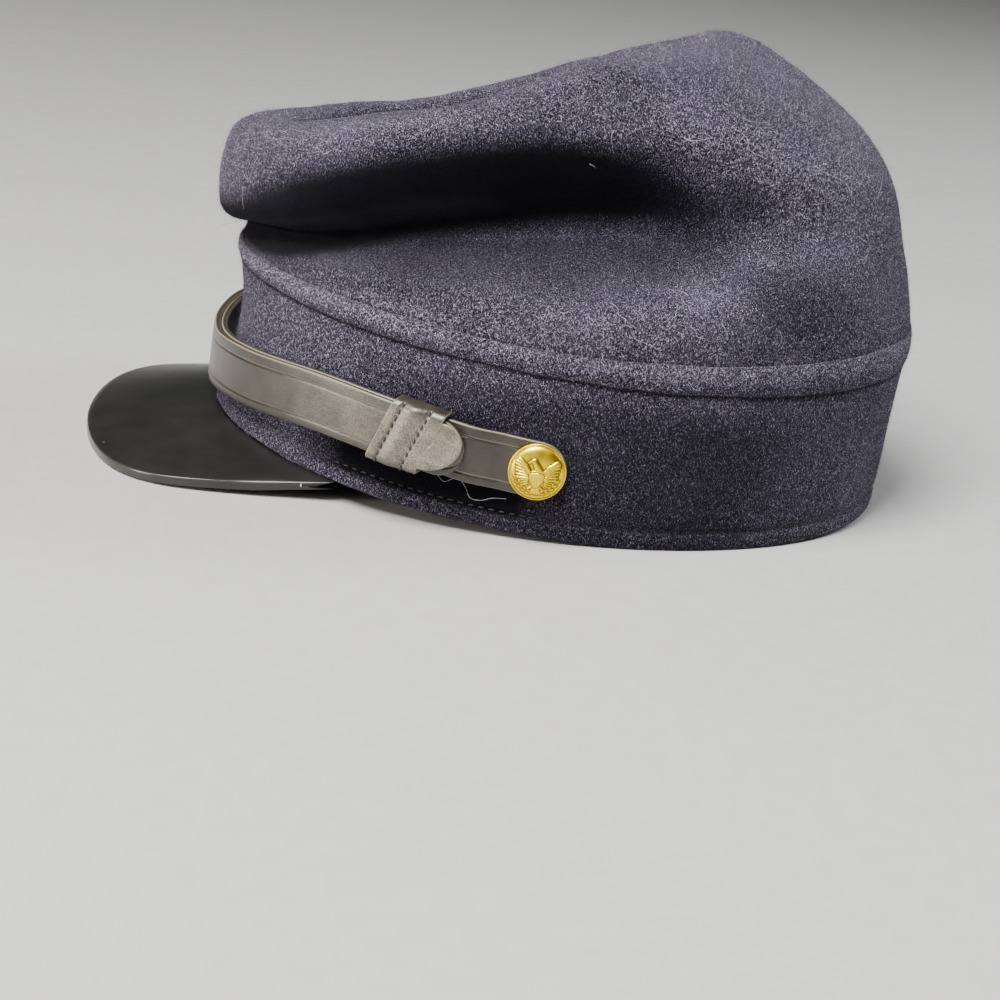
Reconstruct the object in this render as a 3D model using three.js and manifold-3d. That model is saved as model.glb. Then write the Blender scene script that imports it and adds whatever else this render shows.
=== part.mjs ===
// A soldier's forage cap of dark wool: a soft crown that folds forward, a round dished top, a rolled welt,
// a head band, a leather peak, and a two-part leather chin strap on two brass buttons.
// Millimetres, +Z up, the peak toward -Y, the wearer's left toward +X. The cap stands on its hem and peak.
import * as THREE from 'three';
import { mergeVertices } from 'three/addons/utils/BufferGeometryUtils.js';
import Module from 'manifold-3d';

const wasm = await Module();
wasm.setup();

// Head band and hem
const headLength = 202;          // outside the band, front to back
const headWidth = 161.6;         // outside the band, side to side
const ovalPower = 0.949;         // below 1 fills the oval out at its corners
const bandWall = 2.2;            // one thickness of milled wool with its facing
const hemTurn = 1.0;             // extra thickness where the edge is turned in
const hemHeight = 5.5;           // from the edge up to the stitched line
const hemGroove = 0.6;           // how far the stitching pulls the cloth in
const hemRound = 0.7;            // how far the turned edge is rounded off
const hemArch = 6.26;            // the hem rises this much from the sides to front and back
const restTilt = THREE.MathUtils.degToRad(2.76);   // the peak props the front up by this angle
const restFlat = 0.25;           // how much the cloth flattens where it rests
const bandFlare = 0.65;          // the band is this much wider all round at its top
const frontTuck = 4.4;           // the front of the band is pulled in by this much half-way up
const tuckTaper = 6;             // the higher, the narrower the tucked stretch
const seamRise = 46.3;           // band seam above the floor, at the sides
const seamArch = 4.65;           // the seam rises this much from the sides to front and back

// Welt over the band seam
const weltFront = 4.5;           // height at the front, where the crown sits down on it
const weltBack = 10.8;           // height at the back
const weltSwell = 1.0;           // it is this much fuller half-way round the front's sides
const weltProud = 1.1;           // how far it stands out from the band
const weltPinch = 0.8;           // the crown starts this far inside the band's line above the welt

// Crown
const crownWall = 2.0;
const topLength = 114.8;         // rim of the crown, front to back, as it lies
const topWidth = 114.8;          // rim of the crown, side to side
const topCentreY = -34.9;        // the rim's middle lies forward of the band's middle
const topCentreZ = 110.1;
const topPitch = 16.5;           // the rim's back is this much above its middle, its front as much below
const topRoll = 6.0;             // the wearer's left of the rim is this much above its middle
const topCurl = 3.6;             // front and back of the rim curl up by this much
const topWarp = 5.0;             // unit for how far the rim strays from that form
const looseCloth = 20;           // unit for how far the folds stray from a straight wall
const farFolds = 0.75;           // the right side's folds, as a share of the left's
const rimTurn = 5.0;             // from the rim's crest in to the seam of the top
const rimDrop = 2.6;             // from the crest down to that seam
const dishDepth = 8.0;           // the top sinks this far below its seam

// Peak
const peakDepth = 36.9;          // from the band's front to the peak's tip
const peakCorner = THREE.MathUtils.degToRad(49.1); // where the peak leaves the hem, from the front
const peakThickness = 2.4;
const peakCrown = 1.2;           // how far the peak's surface bows up between hem and rim
const peakSquare = { side: 1.085, reach: 0.304, drop: 0.165 };   // powers that square off the rim's curve

// Chin strap, keepers and buttons
const strapWidth = 16;
const strapThickness = 1.9;
const strapEndAngle = THREE.MathUtils.degToRad(71.4);   // where a strap ends past its keeper
const bluntEnd = 0.15;           // a strap's round end is cut this wide at its tip, as a share of its width
const keeperAngle = THREE.MathUtils.degToRad(62.2);     // middle of a keeper's loop
const keeperLean = 0.3;          // a keeper stands square to its sloping strap, so it leans by this much
const keeperLength = 13.5;
const keeperWall = 1.4;
const keeperTab = 7.4;           // the tab past the loop that is sewn to the strap's end
const tabInset = 0.7;            // the tab is narrower than the strap by this much at each edge
const buttonAngle = THREE.MathUtils.degToRad(82.5);
const buttonDiameter = 16;
const buttonRise = 3.0;          // from the rim's back to the top of the dome
const buttonRim = 0.8;
const reliefHeight = 0.45;
const shankDiameter = 3;
const washerDiameter = 6;        // holds the shank inside the band
const washerThickness = 1;
const clearance = 0.3;           // between pieces that touch

// Fineness of the faceted surfaces
const around = 60;
const foldSteps = [1, 2, 2, 2, 2, 2, 2, 1, 1];   // rows from each of the crown profile's points to the next
const dishRows = 4;
const strapSteps = 44;
const endDetail = 0.09;          // draws the steps closer together at a strap's round ends
const peakSteps = 24;
const buttonSides = 24;

// How the crown's cloth falls, a row for each direction from the front (degrees). Each fold is [out, up]:
// out is its distance from a straight wall as a share of looseCloth, up its share of the crown's height.
const crownFolds = [
  { angle: 0,   lip: [0.00, 0.06], crease: [-0.28, 0.14], under: [0.36, 0.19], roll: [0.54, 0.44], shoulder: [0.44, 0.88] },
  { angle: 30,  lip: [0.06, 0.10], crease: [-0.50, 0.25], under: [0.26, 0.38], roll: [0.48, 0.60], shoulder: [0.38, 0.90] },
  { angle: 60,  lip: [0.15, 0.18], crease: [-0.62, 0.43], under: [0.08, 0.61], roll: [0.32, 0.77], shoulder: [0.25, 0.95] },
  { angle: 90,  lip: [0.22, 0.20], crease: [-0.60, 0.50], under: [-0.05, 0.68], roll: [0.22, 0.82], shoulder: [0.20, 0.96] },
  { angle: 112, lip: [0.30, 0.20], crease: [-0.40, 0.48], under: [0.02, 0.64], roll: [0.32, 0.80], shoulder: [0.32, 0.98] },
  { angle: 130, lip: [0.48, 0.23], crease: [0.22, 0.46], under: [0.46, 0.63], roll: [0.72, 0.80], shoulder: [0.50, 0.99] },
  { angle: 150, lip: [0.66, 0.24], crease: [1.02, 0.45], under: [1.32, 0.62], roll: [1.36, 0.80], shoulder: [0.80, 1.00] },
  { angle: 180, lip: [0.80, 0.25], crease: [1.40, 0.46], under: [1.82, 0.65], roll: [1.86, 0.81], shoulder: [1.10, 1.07] },
];
const foldNames = ['lip', 'crease', 'under', 'roll', 'shoulder'];

// How the rim strays from a plain tilted round, all the way about from the front over the wearer's left
const rimWarp = [
  { angle: 0,   rise: 0.0 },
  { angle: 40,  rise: -0.2 },
  { angle: 70,  rise: -0.05 },
  { angle: 84,  rise: 0.1 },
  { angle: 102, rise: 0.62 },
  { angle: 122, rise: 0.95 },
  { angle: 150, rise: 0.45 },
  { angle: 180, rise: 0.0 },
  { angle: 225, rise: -0.2 },
  { angle: 245, rise: -0.52 },
  { angle: 262, rise: -0.85 },
  { angle: 276, rise: -0.85 },
  { angle: 294, rise: -0.5 },
  { angle: 315, rise: -0.38 },
  { angle: 360, rise: 0.0 },
];

// Chin strap's way from the front to a button: rise is its middle's share of the band's height,
// tuck is how far it follows the band's tucked front, as a share of frontTuck.
const strapRoute = [
  { angle: 0,  rise: 0.32, tuck: 0.64 },
  { angle: 25, rise: 0.40, tuck: 0.45 },
  { angle: 45, rise: 0.49, tuck: 0.12 },
  { angle: 61, rise: 0.485, tuck: 0.00 },
  { angle: 75, rise: 0.45, tuck: 0.00 },
  { angle: 90, rise: 0.435, tuck: 0.00 },
];

// Spread wings, body and tail of the bird on the button, as shares of the dome's radius
const birdOutline = [
  [0.00, 0.40], [0.10, 0.36], [0.12, 0.24], [0.24, 0.34], [0.46, 0.42], [0.62, 0.34], [0.66, 0.14],
  [0.58, -0.06], [0.42, -0.20], [0.26, -0.26], [0.16, -0.30], [0.14, -0.52], [0.00, -0.58],
];

// Colours
const wool = () => new THREE.MeshStandardMaterial({ color: 0x24232c, roughness: 0.95, metalness: 0 });
const blackLeather = () => new THREE.MeshStandardMaterial({ color: 0x1d1b19, roughness: 0.42, metalness: 0 });
const giltBrass = () => new THREE.MeshStandardMaterial({ color: 0xd8a12a, roughness: 0.28, metalness: 1 });

// Curves and lofts
const lean = Math.sin(restTilt);

function signedPower(value, power) {
  return Math.sign(value) * Math.abs(value) ** power;
}

// Smooth value of one column of a table whose rows are mirrored at its first and last angle
function fromTable(rows, degrees, read) {
  let low = 0;
  while (low < rows.length - 2 && degrees > rows[low + 1].angle) low += 1;
  const mirror = (index) => (index < 0 ? -index : index >= rows.length ? 2 * (rows.length - 1) - index : index);
  const slope = (index) => {
    const before = rows[mirror(index - 1)];
    const after = rows[mirror(index + 1)];
    if (index <= 0 || index >= rows.length - 1) return 0;
    return (read(after) - read(before)) / (after.angle - before.angle);
  };
  const start = rows[low];
  const end = rows[low + 1];
  const span = end.angle - start.angle;
  const share = THREE.MathUtils.clamp((degrees - start.angle) / span, 0, 1);
  const square = share * share;
  const cube = square * share;
  return (2 * cube - 3 * square + 1) * read(start) + (cube - 2 * square + share) * span * slope(low)
    + (3 * square - 2 * cube) * read(end) + (cube - square) * span * slope(low + 1);
}

// Joins closed sections, each a list of points in the same order, into one closed skin
function loft(sections, looped) {
  const count = sections[0].length;
  const points = sections.flat();
  const faces = [];
  const last = looped ? sections.length : sections.length - 1;
  for (let i = 0; i < last; i += 1) {
    const here = i * count;
    const next = ((i + 1) % sections.length) * count;
    for (let j = 0; j < count; j += 1) {
      const k = (j + 1) % count;
      faces.push(here + j, next + j, next + k, here + j, next + k, here + k);
    }
  }
  if (!looped) {
    const end = (sections.length - 1) * count;
    for (let j = 1; j < count - 1; j += 1) {
      faces.push(0, j, j + 1, end, end + j + 1, end + j);
    }
  }
  return facingOut(points, faces);
}

function facingOut(points, faces) {
  let volume = 0;
  const cross = new THREE.Vector3();
  for (let i = 0; i < faces.length; i += 3) {
    const [a, b, c] = [points[faces[i]], points[faces[i + 1]], points[faces[i + 2]]];
    volume += a.dot(cross.crossVectors(b, c));
  }
  const turned = volume < 0 ? faces.slice().reverse() : faces;
  const geometry = new THREE.BufferGeometry();
  geometry.setAttribute('position', new THREE.Float32BufferAttribute(points.flatMap((p) => p.toArray()), 3));
  geometry.setIndex(turned);
  geometry.computeVertexNormals();
  return geometry;
}

function toSolid(geometry) {
  const bare = geometry.clone();
  for (const name of Object.keys(bare.attributes)) {
    if (name !== 'position') bare.deleteAttribute(name);
  }
  const merged = mergeVertices(bare, 1e-5);
  return new wasm.Manifold(new wasm.Mesh({
    numProp: 3,
    vertProperties: new Float32Array(merged.attributes.position.array),
    triVerts: new Uint32Array(merged.index.array),
  }));
}

function toGeometry(solid) {
  const mesh = solid.getMesh();
  const geometry = new THREE.BufferGeometry();
  geometry.setAttribute('position', new THREE.BufferAttribute(Float32Array.from(mesh.vertProperties), 3));
  geometry.setIndex(new THREE.BufferAttribute(Uint32Array.from(mesh.triVerts), 1));
  geometry.computeVertexNormals();
  return geometry;
}

// Head oval: angle 0 is the front, a quarter turn the wearer's left; out is measured from the hem's outside
function onOval(angle, height, out) {
  return new THREE.Vector3(
    (headWidth / 2 + out) * signedPower(Math.sin(angle), ovalPower),
    -(headLength / 2 + out) * Math.cos(angle) + height * lean,
    height,
  );
}

function outward(angle) {
  const step = 1e-3;
  const along = onOval(angle + step, 0, 0).sub(onOval(angle - step, 0, 0));
  return new THREE.Vector3(along.y, -along.x, 0).normalize();
}

const tiltRise = (headLength / 2) * lean;

function hemZ(angle) {
  const forward = Math.cos(angle) + tiltRise / (2 * hemArch);
  return Math.max(0, hemArch * forward ** 2 - restFlat);
}

function seamZ(angle) {
  const forward = Math.cos(angle);
  return seamRise + tiltRise * forward + seamArch * forward ** 2;
}

function weltHeight(angle) {
  const forward = Math.max(0, Math.cos(angle));
  const swell = weltSwell * 4 * (forward * Math.sin(angle)) ** 2;
  return (weltFront + weltBack) / 2 + (weltFront - weltBack) / 2 * Math.cos(angle) + swell;
}

function bandShare(angle, height) {
  const low = hemZ(angle);
  return THREE.MathUtils.clamp((height - low) / (seamZ(angle) - low), 0, 1);
}

// A point off the band's outer face
function offBand(angle, height, out) {
  const share = bandShare(angle, height);
  const tuck = frontTuck * Math.max(0, Math.cos(angle)) ** tuckTaper * Math.sin(0.85 * Math.PI * share);
  return onOval(angle, height, bandFlare * share - tuck + out);
}

const turns = Array.from({ length: around }, (_, i) => (i / around) * 2 * Math.PI);

// Head band with its turned and stitched hem
function headBand() {
  return loft(turns.map((angle) => {
    const low = hemZ(angle);
    const high = seamZ(angle) - clearance;
    const groove = low + hemHeight;
    const inner = -bandWall;
    return [
      offBand(angle, low, inner - hemTurn + hemRound),
      offBand(angle, low, -hemRound),
      offBand(angle, low + hemRound, 0),
      offBand(angle, groove - 2 * hemGroove, 0),
      offBand(angle, groove, -hemGroove),
      offBand(angle, groove + 2 * hemGroove, 0),
      offBand(angle, high, 0),
      offBand(angle, high, inner),
      offBand(angle, groove, inner),
      offBand(angle, groove - hemGroove, inner - hemTurn),
      offBand(angle, low + hemRound, inner - hemTurn),
    ];
  }), true);
}

// Welt: a rolled strip of the crown's cloth over the seam
function welt() {
  const roundness = 6;
  return loft(turns.map((angle) => {
    const low = seamZ(angle);
    const height = weltHeight(angle);
    const section = [offBand(angle, low, -bandWall)];
    for (let i = 0; i < roundness; i += 1) {
      const turn = Math.PI * (i / (roundness - 1) - 0.5);
      const out = weltProud * Math.cos(turn) ** 0.7;
      section.push(offBand(angle, low + height * (0.5 + 0.5 * Math.sin(turn)), out));
    }
    section.push(offBand(angle, low + height, -bandWall));
    return section;
  }), true);
}

// Crown side
function crownFoot(angle) {
  return offBand(angle, seamZ(angle) + weltHeight(angle) + clearance, -weltPinch);
}

function crownRim(angle, inward, down) {
  const side = Math.sin(angle);
  const forward = -Math.cos(angle);
  const degrees = THREE.MathUtils.euclideanModulo(THREE.MathUtils.radToDeg(angle), 360);
  const warp = topWarp * fromTable(rimWarp, degrees, (row) => row.rise);
  return new THREE.Vector3(
    (topWidth / 2 - inward) * side,
    topCentreY + (topLength / 2 - inward) * forward,
    topCentreZ + topPitch * forward + topCurl * forward ** 2 + topRoll * side + warp - down,
  );
}

function crownProfile(angle) {
  const foot = crownFoot(angle);
  const rim = crownRim(angle, 0, 0);
  const away = outward(angle);
  const degrees = Math.abs(THREE.MathUtils.radToDeg(Math.atan2(Math.sin(angle), Math.cos(angle))));
  const farSide = Math.max(0, -Math.sin(angle));
  const keys = [foot.clone(), foot.clone().addScaledVector(new THREE.Vector3(0, 0, 1), crownWall / 2)];
  for (const name of foldNames) {
    const out = fromTable(crownFolds, degrees, (row) => row[name][0]);
    const up = fromTable(crownFolds, degrees, (row) => row[name][1]);
    const softened = out < 0 ? out * (1 - (1 - farFolds) * farSide) : out;
    const point = foot.clone().lerp(rim, up);
    keys.push(point.addScaledVector(away, softened * looseCloth));
  }
  keys.push(rim, crownRim(angle, rimTurn * 0.65, rimDrop * 0.3), crownRim(angle, rimTurn, rimDrop));
  const curve = new THREE.CatmullRomCurve3(keys, false, 'centripetal');
  const points = [];
  foldSteps.forEach((steps, part) => {
    for (let i = 0; i < steps; i += 1) points.push(curve.getPoint((part + i / steps) / foldSteps.length));
  });
  return [...points, curve.getPoint(1)];
}

function crownSide() {
  const outer = turns.map(crownProfile);
  const inner = outer.map((profile, i) => profile.map((point, j) => {
    const before = outer[(i + around - 1) % around][j];
    const after = outer[(i + 1) % around][j];
    const along = after.clone().sub(before);
    const up = profile[Math.min(j + 1, profile.length - 1)].clone().sub(profile[Math.max(j - 1, 0)]);
    const normal = along.cross(up).normalize();
    if (j === 0) normal.setZ(0).normalize();
    return point.clone().addScaledVector(normal, -crownWall);
  }));
  return loft(outer.map((profile, i) => [...profile, ...inner[i].slice().reverse()]), true);
}

// Crown top: a round of the same wool that sinks inside the rim
function crownTop() {
  const dish = (share) => dishDepth * (1 - share ** 3);
  const skin = (lower) => {
    const rings = [];
    for (let i = 0; i < dishRows; i += 1) {
      const share = 1 - i / dishRows;
      rings.push(turns.map((angle) => {
        const edge = crownRim(angle, rimTurn + clearance, rimDrop);
        const middle = new THREE.Vector3(0, topCentreY, topCentreZ - rimDrop);
        return middle.lerp(edge, share).add(new THREE.Vector3(0, 0, -dish(share) - lower));
      }));
    }
    return rings;
  };
  const points = [];
  const faces = [];
  for (const lower of [0, crownWall]) {
    const start = points.length;
    for (const ring of skin(lower)) points.push(...ring);
    points.push(new THREE.Vector3(0, topCentreY, topCentreZ - rimDrop - dishDepth - lower));
    const centre = points.length - 1;
    const turned = lower > 0;
    const face = (a, b, c) => faces.push(...(turned ? [a, c, b] : [a, b, c]));
    for (let i = 0; i < around; i += 1) {
      const k = (i + 1) % around;
      for (let row = 0; row < dishRows - 1; row += 1) {
        const here = start + row * around;
        const next = here + around;
        face(here + i, here + k, next + k);
        face(here + i, next + k, next + i);
      }
      const last = start + (dishRows - 1) * around;
      face(last + i, last + k, centre);
    }
  }
  const lowStart = dishRows * around + 1;
  for (let i = 0; i < around; i += 1) {
    const k = (i + 1) % around;
    faces.push(i, lowStart + i, lowStart + k, i, lowStart + k, k);
  }
  return facingOut(points, faces);
}

// Peak: a stiff leather crescent sewn under the front of the hem
function peakRim(share) {
  const corner = offBand(peakCorner, hemZ(peakCorner) - clearance, 0);
  const turn = share * Math.PI / 2;
  const reach = Math.abs(Math.cos(turn));
  const tipY = -(headLength / 2 + peakDepth);
  return new THREE.Vector3(
    corner.x * signedPower(Math.sin(turn), peakSquare.side),
    corner.y + (tipY - corner.y) * reach ** peakSquare.reach,
    corner.z + (peakThickness - corner.z) * reach ** peakSquare.drop,
  );
}

function peak() {
  const sections = [];
  const rows = [0, 0.12, 0.3, 0.5, 0.7, 0.9, 1];   // from the hem to the rim
  for (let i = 0; i <= peakSteps; i += 1) {
    const share = Math.sin((i / peakSteps - 0.5) * Math.PI) * 0.999;
    const angle = share * peakCorner;
    const hem = hemZ(angle) - clearance;
    const margin = offBand(angle, hem, -bandWall - hemTurn / 2);
    const start = offBand(angle, hem, 0);
    const end = peakRim(share);
    const top = [margin];
    for (const row of rows) {
      const point = start.clone().lerp(end, row);
      point.z += peakCrown * 4 * row * (1 - row) * Math.cos(share * Math.PI / 2);
      top.push(point);
    }
    const below = top.map((point) => point.clone().add(new THREE.Vector3(0, 0, -peakThickness))).reverse();
    sections.push([...top, ...below]);
  }
  return loft(sections, false);
}

// Chin strap
const innerSeat = clearance + keeperWall + clearance;
const outerSeat = innerSeat + strapThickness + clearance;

function strapMiddle(angle) {
  const degrees = Math.abs(THREE.MathUtils.radToDeg(angle));
  const rise = fromTable(strapRoute, Math.min(degrees, 90), (row) => row.rise);
  return THREE.MathUtils.lerp(hemZ(angle), seamZ(angle), rise);
}

function strapOff(angle, seat) {
  const degrees = Math.abs(THREE.MathUtils.radToDeg(angle));
  return seat - frontTuck * fromTable(strapRoute, Math.min(degrees, 90), (row) => row.tuck);
}

// A point off the band as it would be without its tucked front
function offStraightBand(angle, height, out) {
  return onOval(angle, height, bandFlare * bandShare(angle, height) + out);
}

// Past its keeper a strap closes down onto the band before it reaches its button
function settle(angle) {
  const beforeButton = buttonAngle - (buttonDiameter / 2 + 1) / (headLength / 2);
  return THREE.MathUtils.smoothstep(Math.abs(angle), strapEndAngle, beforeButton);
}

function roundedEnd(fromEnd) {
  const radius = strapWidth / 2;
  if (fromEnd >= radius) return 1;
  const share = 1 - Math.max(fromEnd, 0) / radius;
  return Math.max(Math.sqrt(1 - share ** 2), bluntEnd);
}

// A strap from its plain end past a keeper to the rounded end round a button; the seats are its distance
// off the band in front, and side is +1 for the strap whose button is on the wearer's left
function strap(seat, side) {
  const endAngle = buttonAngle + (strapWidth / 2) / (headLength / 2);
  const length = headLength / 2 * (endAngle + strapEndAngle);
  const sections = [];
  for (let i = 0; i <= strapSteps; i += 1) {
    const share = i / strapSteps;
    const eased = share - endDetail * Math.sin(2 * Math.PI * share);
    const angle = side * THREE.MathUtils.lerp(-strapEndAngle, endAngle, eased);
    const towardButton = Math.max(0, side * angle);
    const off = THREE.MathUtils.lerp(strapOff(angle, seat), clearance, towardButton > 0 ? settle(angle) : 0);
    const narrow = Math.min(roundedEnd(length * eased), roundedEnd(length * (1 - eased)));
    const half = strapWidth / 2 * narrow;
    const middle = strapMiddle(angle);
    sections.push([
      offStraightBand(angle, middle - half, off),
      offStraightBand(angle, middle - half, off + strapThickness),
      offStraightBand(angle, middle + half, off + strapThickness),
      offStraightBand(angle, middle + half, off),
    ]);
  }
  return loft(sections, false);
}

const keeperRadius = 0.46 * headLength;   // the band's radius under a keeper

// Keeper: a leather loop round both straps, with a tab sewn to the end of the strap that carries it
function keeperBar(side, from, to, inside, outside, halfHeight, taper) {
  const sections = [];
  const steps = 6;
  for (let i = 0; i <= steps; i += 1) {
    const share = Math.sin((i / steps) * Math.PI / 2);
    const along = THREE.MathUtils.lerp(from, to, share);
    const half = halfHeight * taper(share);
    const corner = (height, out) => {
      const angle = side * (keeperAngle + (along + keeperLean * height) / keeperRadius);
      return offStraightBand(angle, strapMiddle(angle) + height, out);
    };
    sections.push([corner(-half, inside), corner(-half, outside), corner(half, outside), corner(half, inside)]);
  }
  return toSolid(loft(sections, false));
}

function keeper(side) {
  const halfLoop = keeperLength / 2;
  const inside = strapWidth / 2 + clearance;
  const outside = inside + keeperWall;
  const back = clearance;
  const front = outerSeat + strapThickness + clearance + keeperWall;
  const full = () => 1;
  const block = keeperBar(side, -halfLoop, halfLoop, back, front, outside, full);
  const hollow = keeperBar(side, -halfLoop - keeperWall, halfLoop + keeperWall, back + keeperWall,
    front - keeperWall, inside, full);
  const roundTab = (share) => Math.sqrt(1 - (share * 0.98) ** 3);
  const tab = keeperBar(side, halfLoop - keeperWall, halfLoop + keeperTab, front - keeperWall, front,
    strapWidth / 2 - tabInset, roundTab);
  return toGeometry(block.subtract(hollow).add(tab));
}

// Buttons: the strap's face is round, so its middle reaches this far into a button's flat back
const buttonLift = (buttonDiameter / 2) ** 2 / headLength + clearance / 3;

function place(geometry, angle) {
  const middle = strapMiddle(angle);
  const seat = offBand(angle, middle, clearance + strapThickness + clearance + buttonLift);
  const away = outward(angle);
  const up = new THREE.Vector3(0, 0, 1);
  const across = up.clone().cross(away).normalize();
  const turn = new THREE.Matrix4().makeBasis(across, up, away);
  turn.setPosition(seat);
  return geometry.applyMatrix4(turn);
}

function domeProfile(raise) {
  const radius = buttonDiameter / 2;
  const back = buttonRim * 0.6;
  const lip = back + buttonRim;
  const points = [[0, 0], [radius - back, 0], [radius, back], [radius, lip], [radius - buttonRim, lip]];
  const domeFoot = lip - 0.2 * buttonRim;
  const steps = 5;
  for (let i = 0; i <= steps; i += 1) {
    const turn = (i / steps) * Math.PI / 2;
    const out = (radius - 1.25 * buttonRim) * Math.cos(turn);
    points.push([i === steps ? 0 : out, domeFoot + (buttonRise - domeFoot) * Math.sin(turn) ** 0.9 + raise]);
  }
  return points.map(([out, height]) => new THREE.Vector2(out, height));
}

function button(side) {
  const turned = (raise) => toSolid(new THREE.LatheGeometry(domeProfile(raise), buttonSides).rotateX(Math.PI / 2));
  const size = buttonDiameter / 2 - buttonRim;
  const half = birdOutline.map(([x, y]) => new THREE.Vector2(x * size, y * size));
  const mirrored = half.slice(1, -1).reverse().map((point) => new THREE.Vector2(-point.x, point.y));
  const outline = new THREE.Shape([...half, ...mirrored]);
  const bird = toSolid(new THREE.ExtrudeGeometry(outline, { depth: buttonRise + 1, bevelEnabled: false }));
  const backToFace = clearance + strapThickness + clearance;
  const inside = backToFace + buttonLift + bandWall + clearance;
  const inDome = 0.3;
  const pin = (diameter, from, to, sides) => toSolid(
    new THREE.CylinderGeometry(diameter / 2, diameter / 2, to - from, sides)
      .rotateX(Math.PI / 2).translate(0, 0, (from + to) / 2),
  );
  const shank = pin(shankDiameter, -inside - washerThickness / 2, inDome, 12);
  const washer = pin(washerDiameter, -inside - washerThickness, -inside, 16);
  const solid = turned(0).add(bird.intersect(turned(reliefHeight))).add(shank).add(washer);
  return place(toGeometry(solid), side * buttonAngle);
}

function shankHole(side) {
  const radius = shankDiameter / 2 + clearance;
  const longEnough = 4 * (strapThickness + bandWall);
  const hole = new THREE.CylinderGeometry(radius, radius, longEnough, 14).rotateX(Math.PI / 2);
  return toSolid(place(hole, side * buttonAngle));
}

// Assembly
const leftHole = shankHole(1);
const rightHole = shankHole(-1);
const bored = (geometry, ...holes) => toGeometry(holes.reduce((solid, hole) => solid.subtract(hole), toSolid(geometry)));

const pieces = {
  band: [bored(headBand(), leftHole, rightHole), wool()],
  welt: [welt(), wool()],
  crown_side: [crownSide(), wool()],
  crown_top: [crownTop(), wool()],
  peak: [peak(), blackLeather()],
  strap_inner: [bored(strap(innerSeat, 1), leftHole), blackLeather()],
  strap_outer: [bored(strap(outerSeat, -1), rightHole), blackLeather()],
  keeper_left: [keeper(1), blackLeather()],
  keeper_right: [keeper(-1), blackLeather()],
  button_left: [button(1), giltBrass()],
  button_right: [button(-1), giltBrass()],
};

const cap = new THREE.Group();
for (const [name, [geometry, material]] of Object.entries(pieces)) {
  const mesh = new THREE.Mesh(geometry, material);
  mesh.name = name;
  cap.add(mesh);
}

// The origin is under the middle of the cap, on the floor
const bounds = new THREE.Box3().setFromObject(cap);
const middle = bounds.getCenter(new THREE.Vector3());
cap.position.set(-middle.x, -middle.y, -bounds.min.z);
cap.updateMatrixWorld(true);

export default cap;
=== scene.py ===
# A soldier's wool forage cap, dressed piece by piece in the order in which a cap maker puts it together.
# Lengths are in millimetres until a mesh is made, with the head's oval round x = y = 0 and the peak toward -Y.
import math

import bpy
import numpy as np
from mathutils import Matrix, Vector, noise


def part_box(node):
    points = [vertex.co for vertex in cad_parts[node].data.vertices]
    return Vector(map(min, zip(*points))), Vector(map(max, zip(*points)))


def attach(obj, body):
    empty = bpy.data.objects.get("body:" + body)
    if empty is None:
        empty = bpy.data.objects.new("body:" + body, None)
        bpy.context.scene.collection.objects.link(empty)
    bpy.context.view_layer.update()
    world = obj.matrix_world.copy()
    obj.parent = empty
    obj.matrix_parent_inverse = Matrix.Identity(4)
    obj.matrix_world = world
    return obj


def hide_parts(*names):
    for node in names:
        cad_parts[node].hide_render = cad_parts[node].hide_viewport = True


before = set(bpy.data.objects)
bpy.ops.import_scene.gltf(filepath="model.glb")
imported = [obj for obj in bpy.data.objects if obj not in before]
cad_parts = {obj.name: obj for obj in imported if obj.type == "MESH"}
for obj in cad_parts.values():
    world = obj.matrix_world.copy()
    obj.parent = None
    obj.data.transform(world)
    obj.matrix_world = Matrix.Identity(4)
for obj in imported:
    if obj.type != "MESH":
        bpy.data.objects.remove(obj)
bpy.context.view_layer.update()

# View, table and light
# The camera looks at the wearer's left side from a little above. The cap stands on a pale matt
# table top under a large soft box, with a weaker one behind it and a small one in front.
camera = bpy.data.objects.new("camera", bpy.data.cameras.new("camera"))
camera.data.lens = 91.588
camera.data.sensor_width = 36
camera.data.clip_end = 60
view_right = Vector((0.086853, 0.988824, 0.121173))
view_up = Vector((-0.311472, -0.088582, 0.946118))
view_back = view_right.cross(view_up).normalized()
camera.matrix_world = Matrix.Translation((0.74009, -0.08857, 0.22070)) @ Matrix(
    (view_right, view_up, view_back)).transposed().to_4x4()
bpy.context.scene.collection.objects.link(camera)
bpy.context.scene.camera = camera


def soft_box(name, place, aim, size, power, colour):
    lamp = bpy.data.objects.new(name, bpy.data.lights.new(name, "AREA"))
    lamp.data.shape = "RECTANGLE"
    lamp.data.size, lamp.data.size_y = size
    lamp.data.energy = power
    lamp.data.color = colour
    lamp.matrix_world = Matrix.Translation(place) @ (Vector(place) - Vector(aim)).to_track_quat("Z",
        "Y").to_matrix().to_4x4()
    bpy.context.scene.collection.objects.link(lamp)


soft_box("soft_box_above", (0.58, -0.40, 1.12), (0, 0, 0.05), (0.6, 0.8), 53, (1.0, 0.99, 0.98))
soft_box("soft_box_behind", (-0.25, 1.15, 0.8), (0, 0.03, 0.07), (0.6, 0.6), 18, (0.95, 0.97, 1.0))
soft_box("soft_box_front", (0.45, -1.05, 0.2), (0, -0.03, 0.05), (0.35, 0.3), 11, (1.0, 0.95, 0.88))

room = bpy.data.worlds.new("room")
room.use_nodes = True
room.node_tree.nodes["Background"].inputs["Color"].default_value = (0.86, 0.9, 0.95, 1)
room.node_tree.nodes["Background"].inputs["Strength"].default_value = 0.05
bpy.context.scene.world = room


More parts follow.
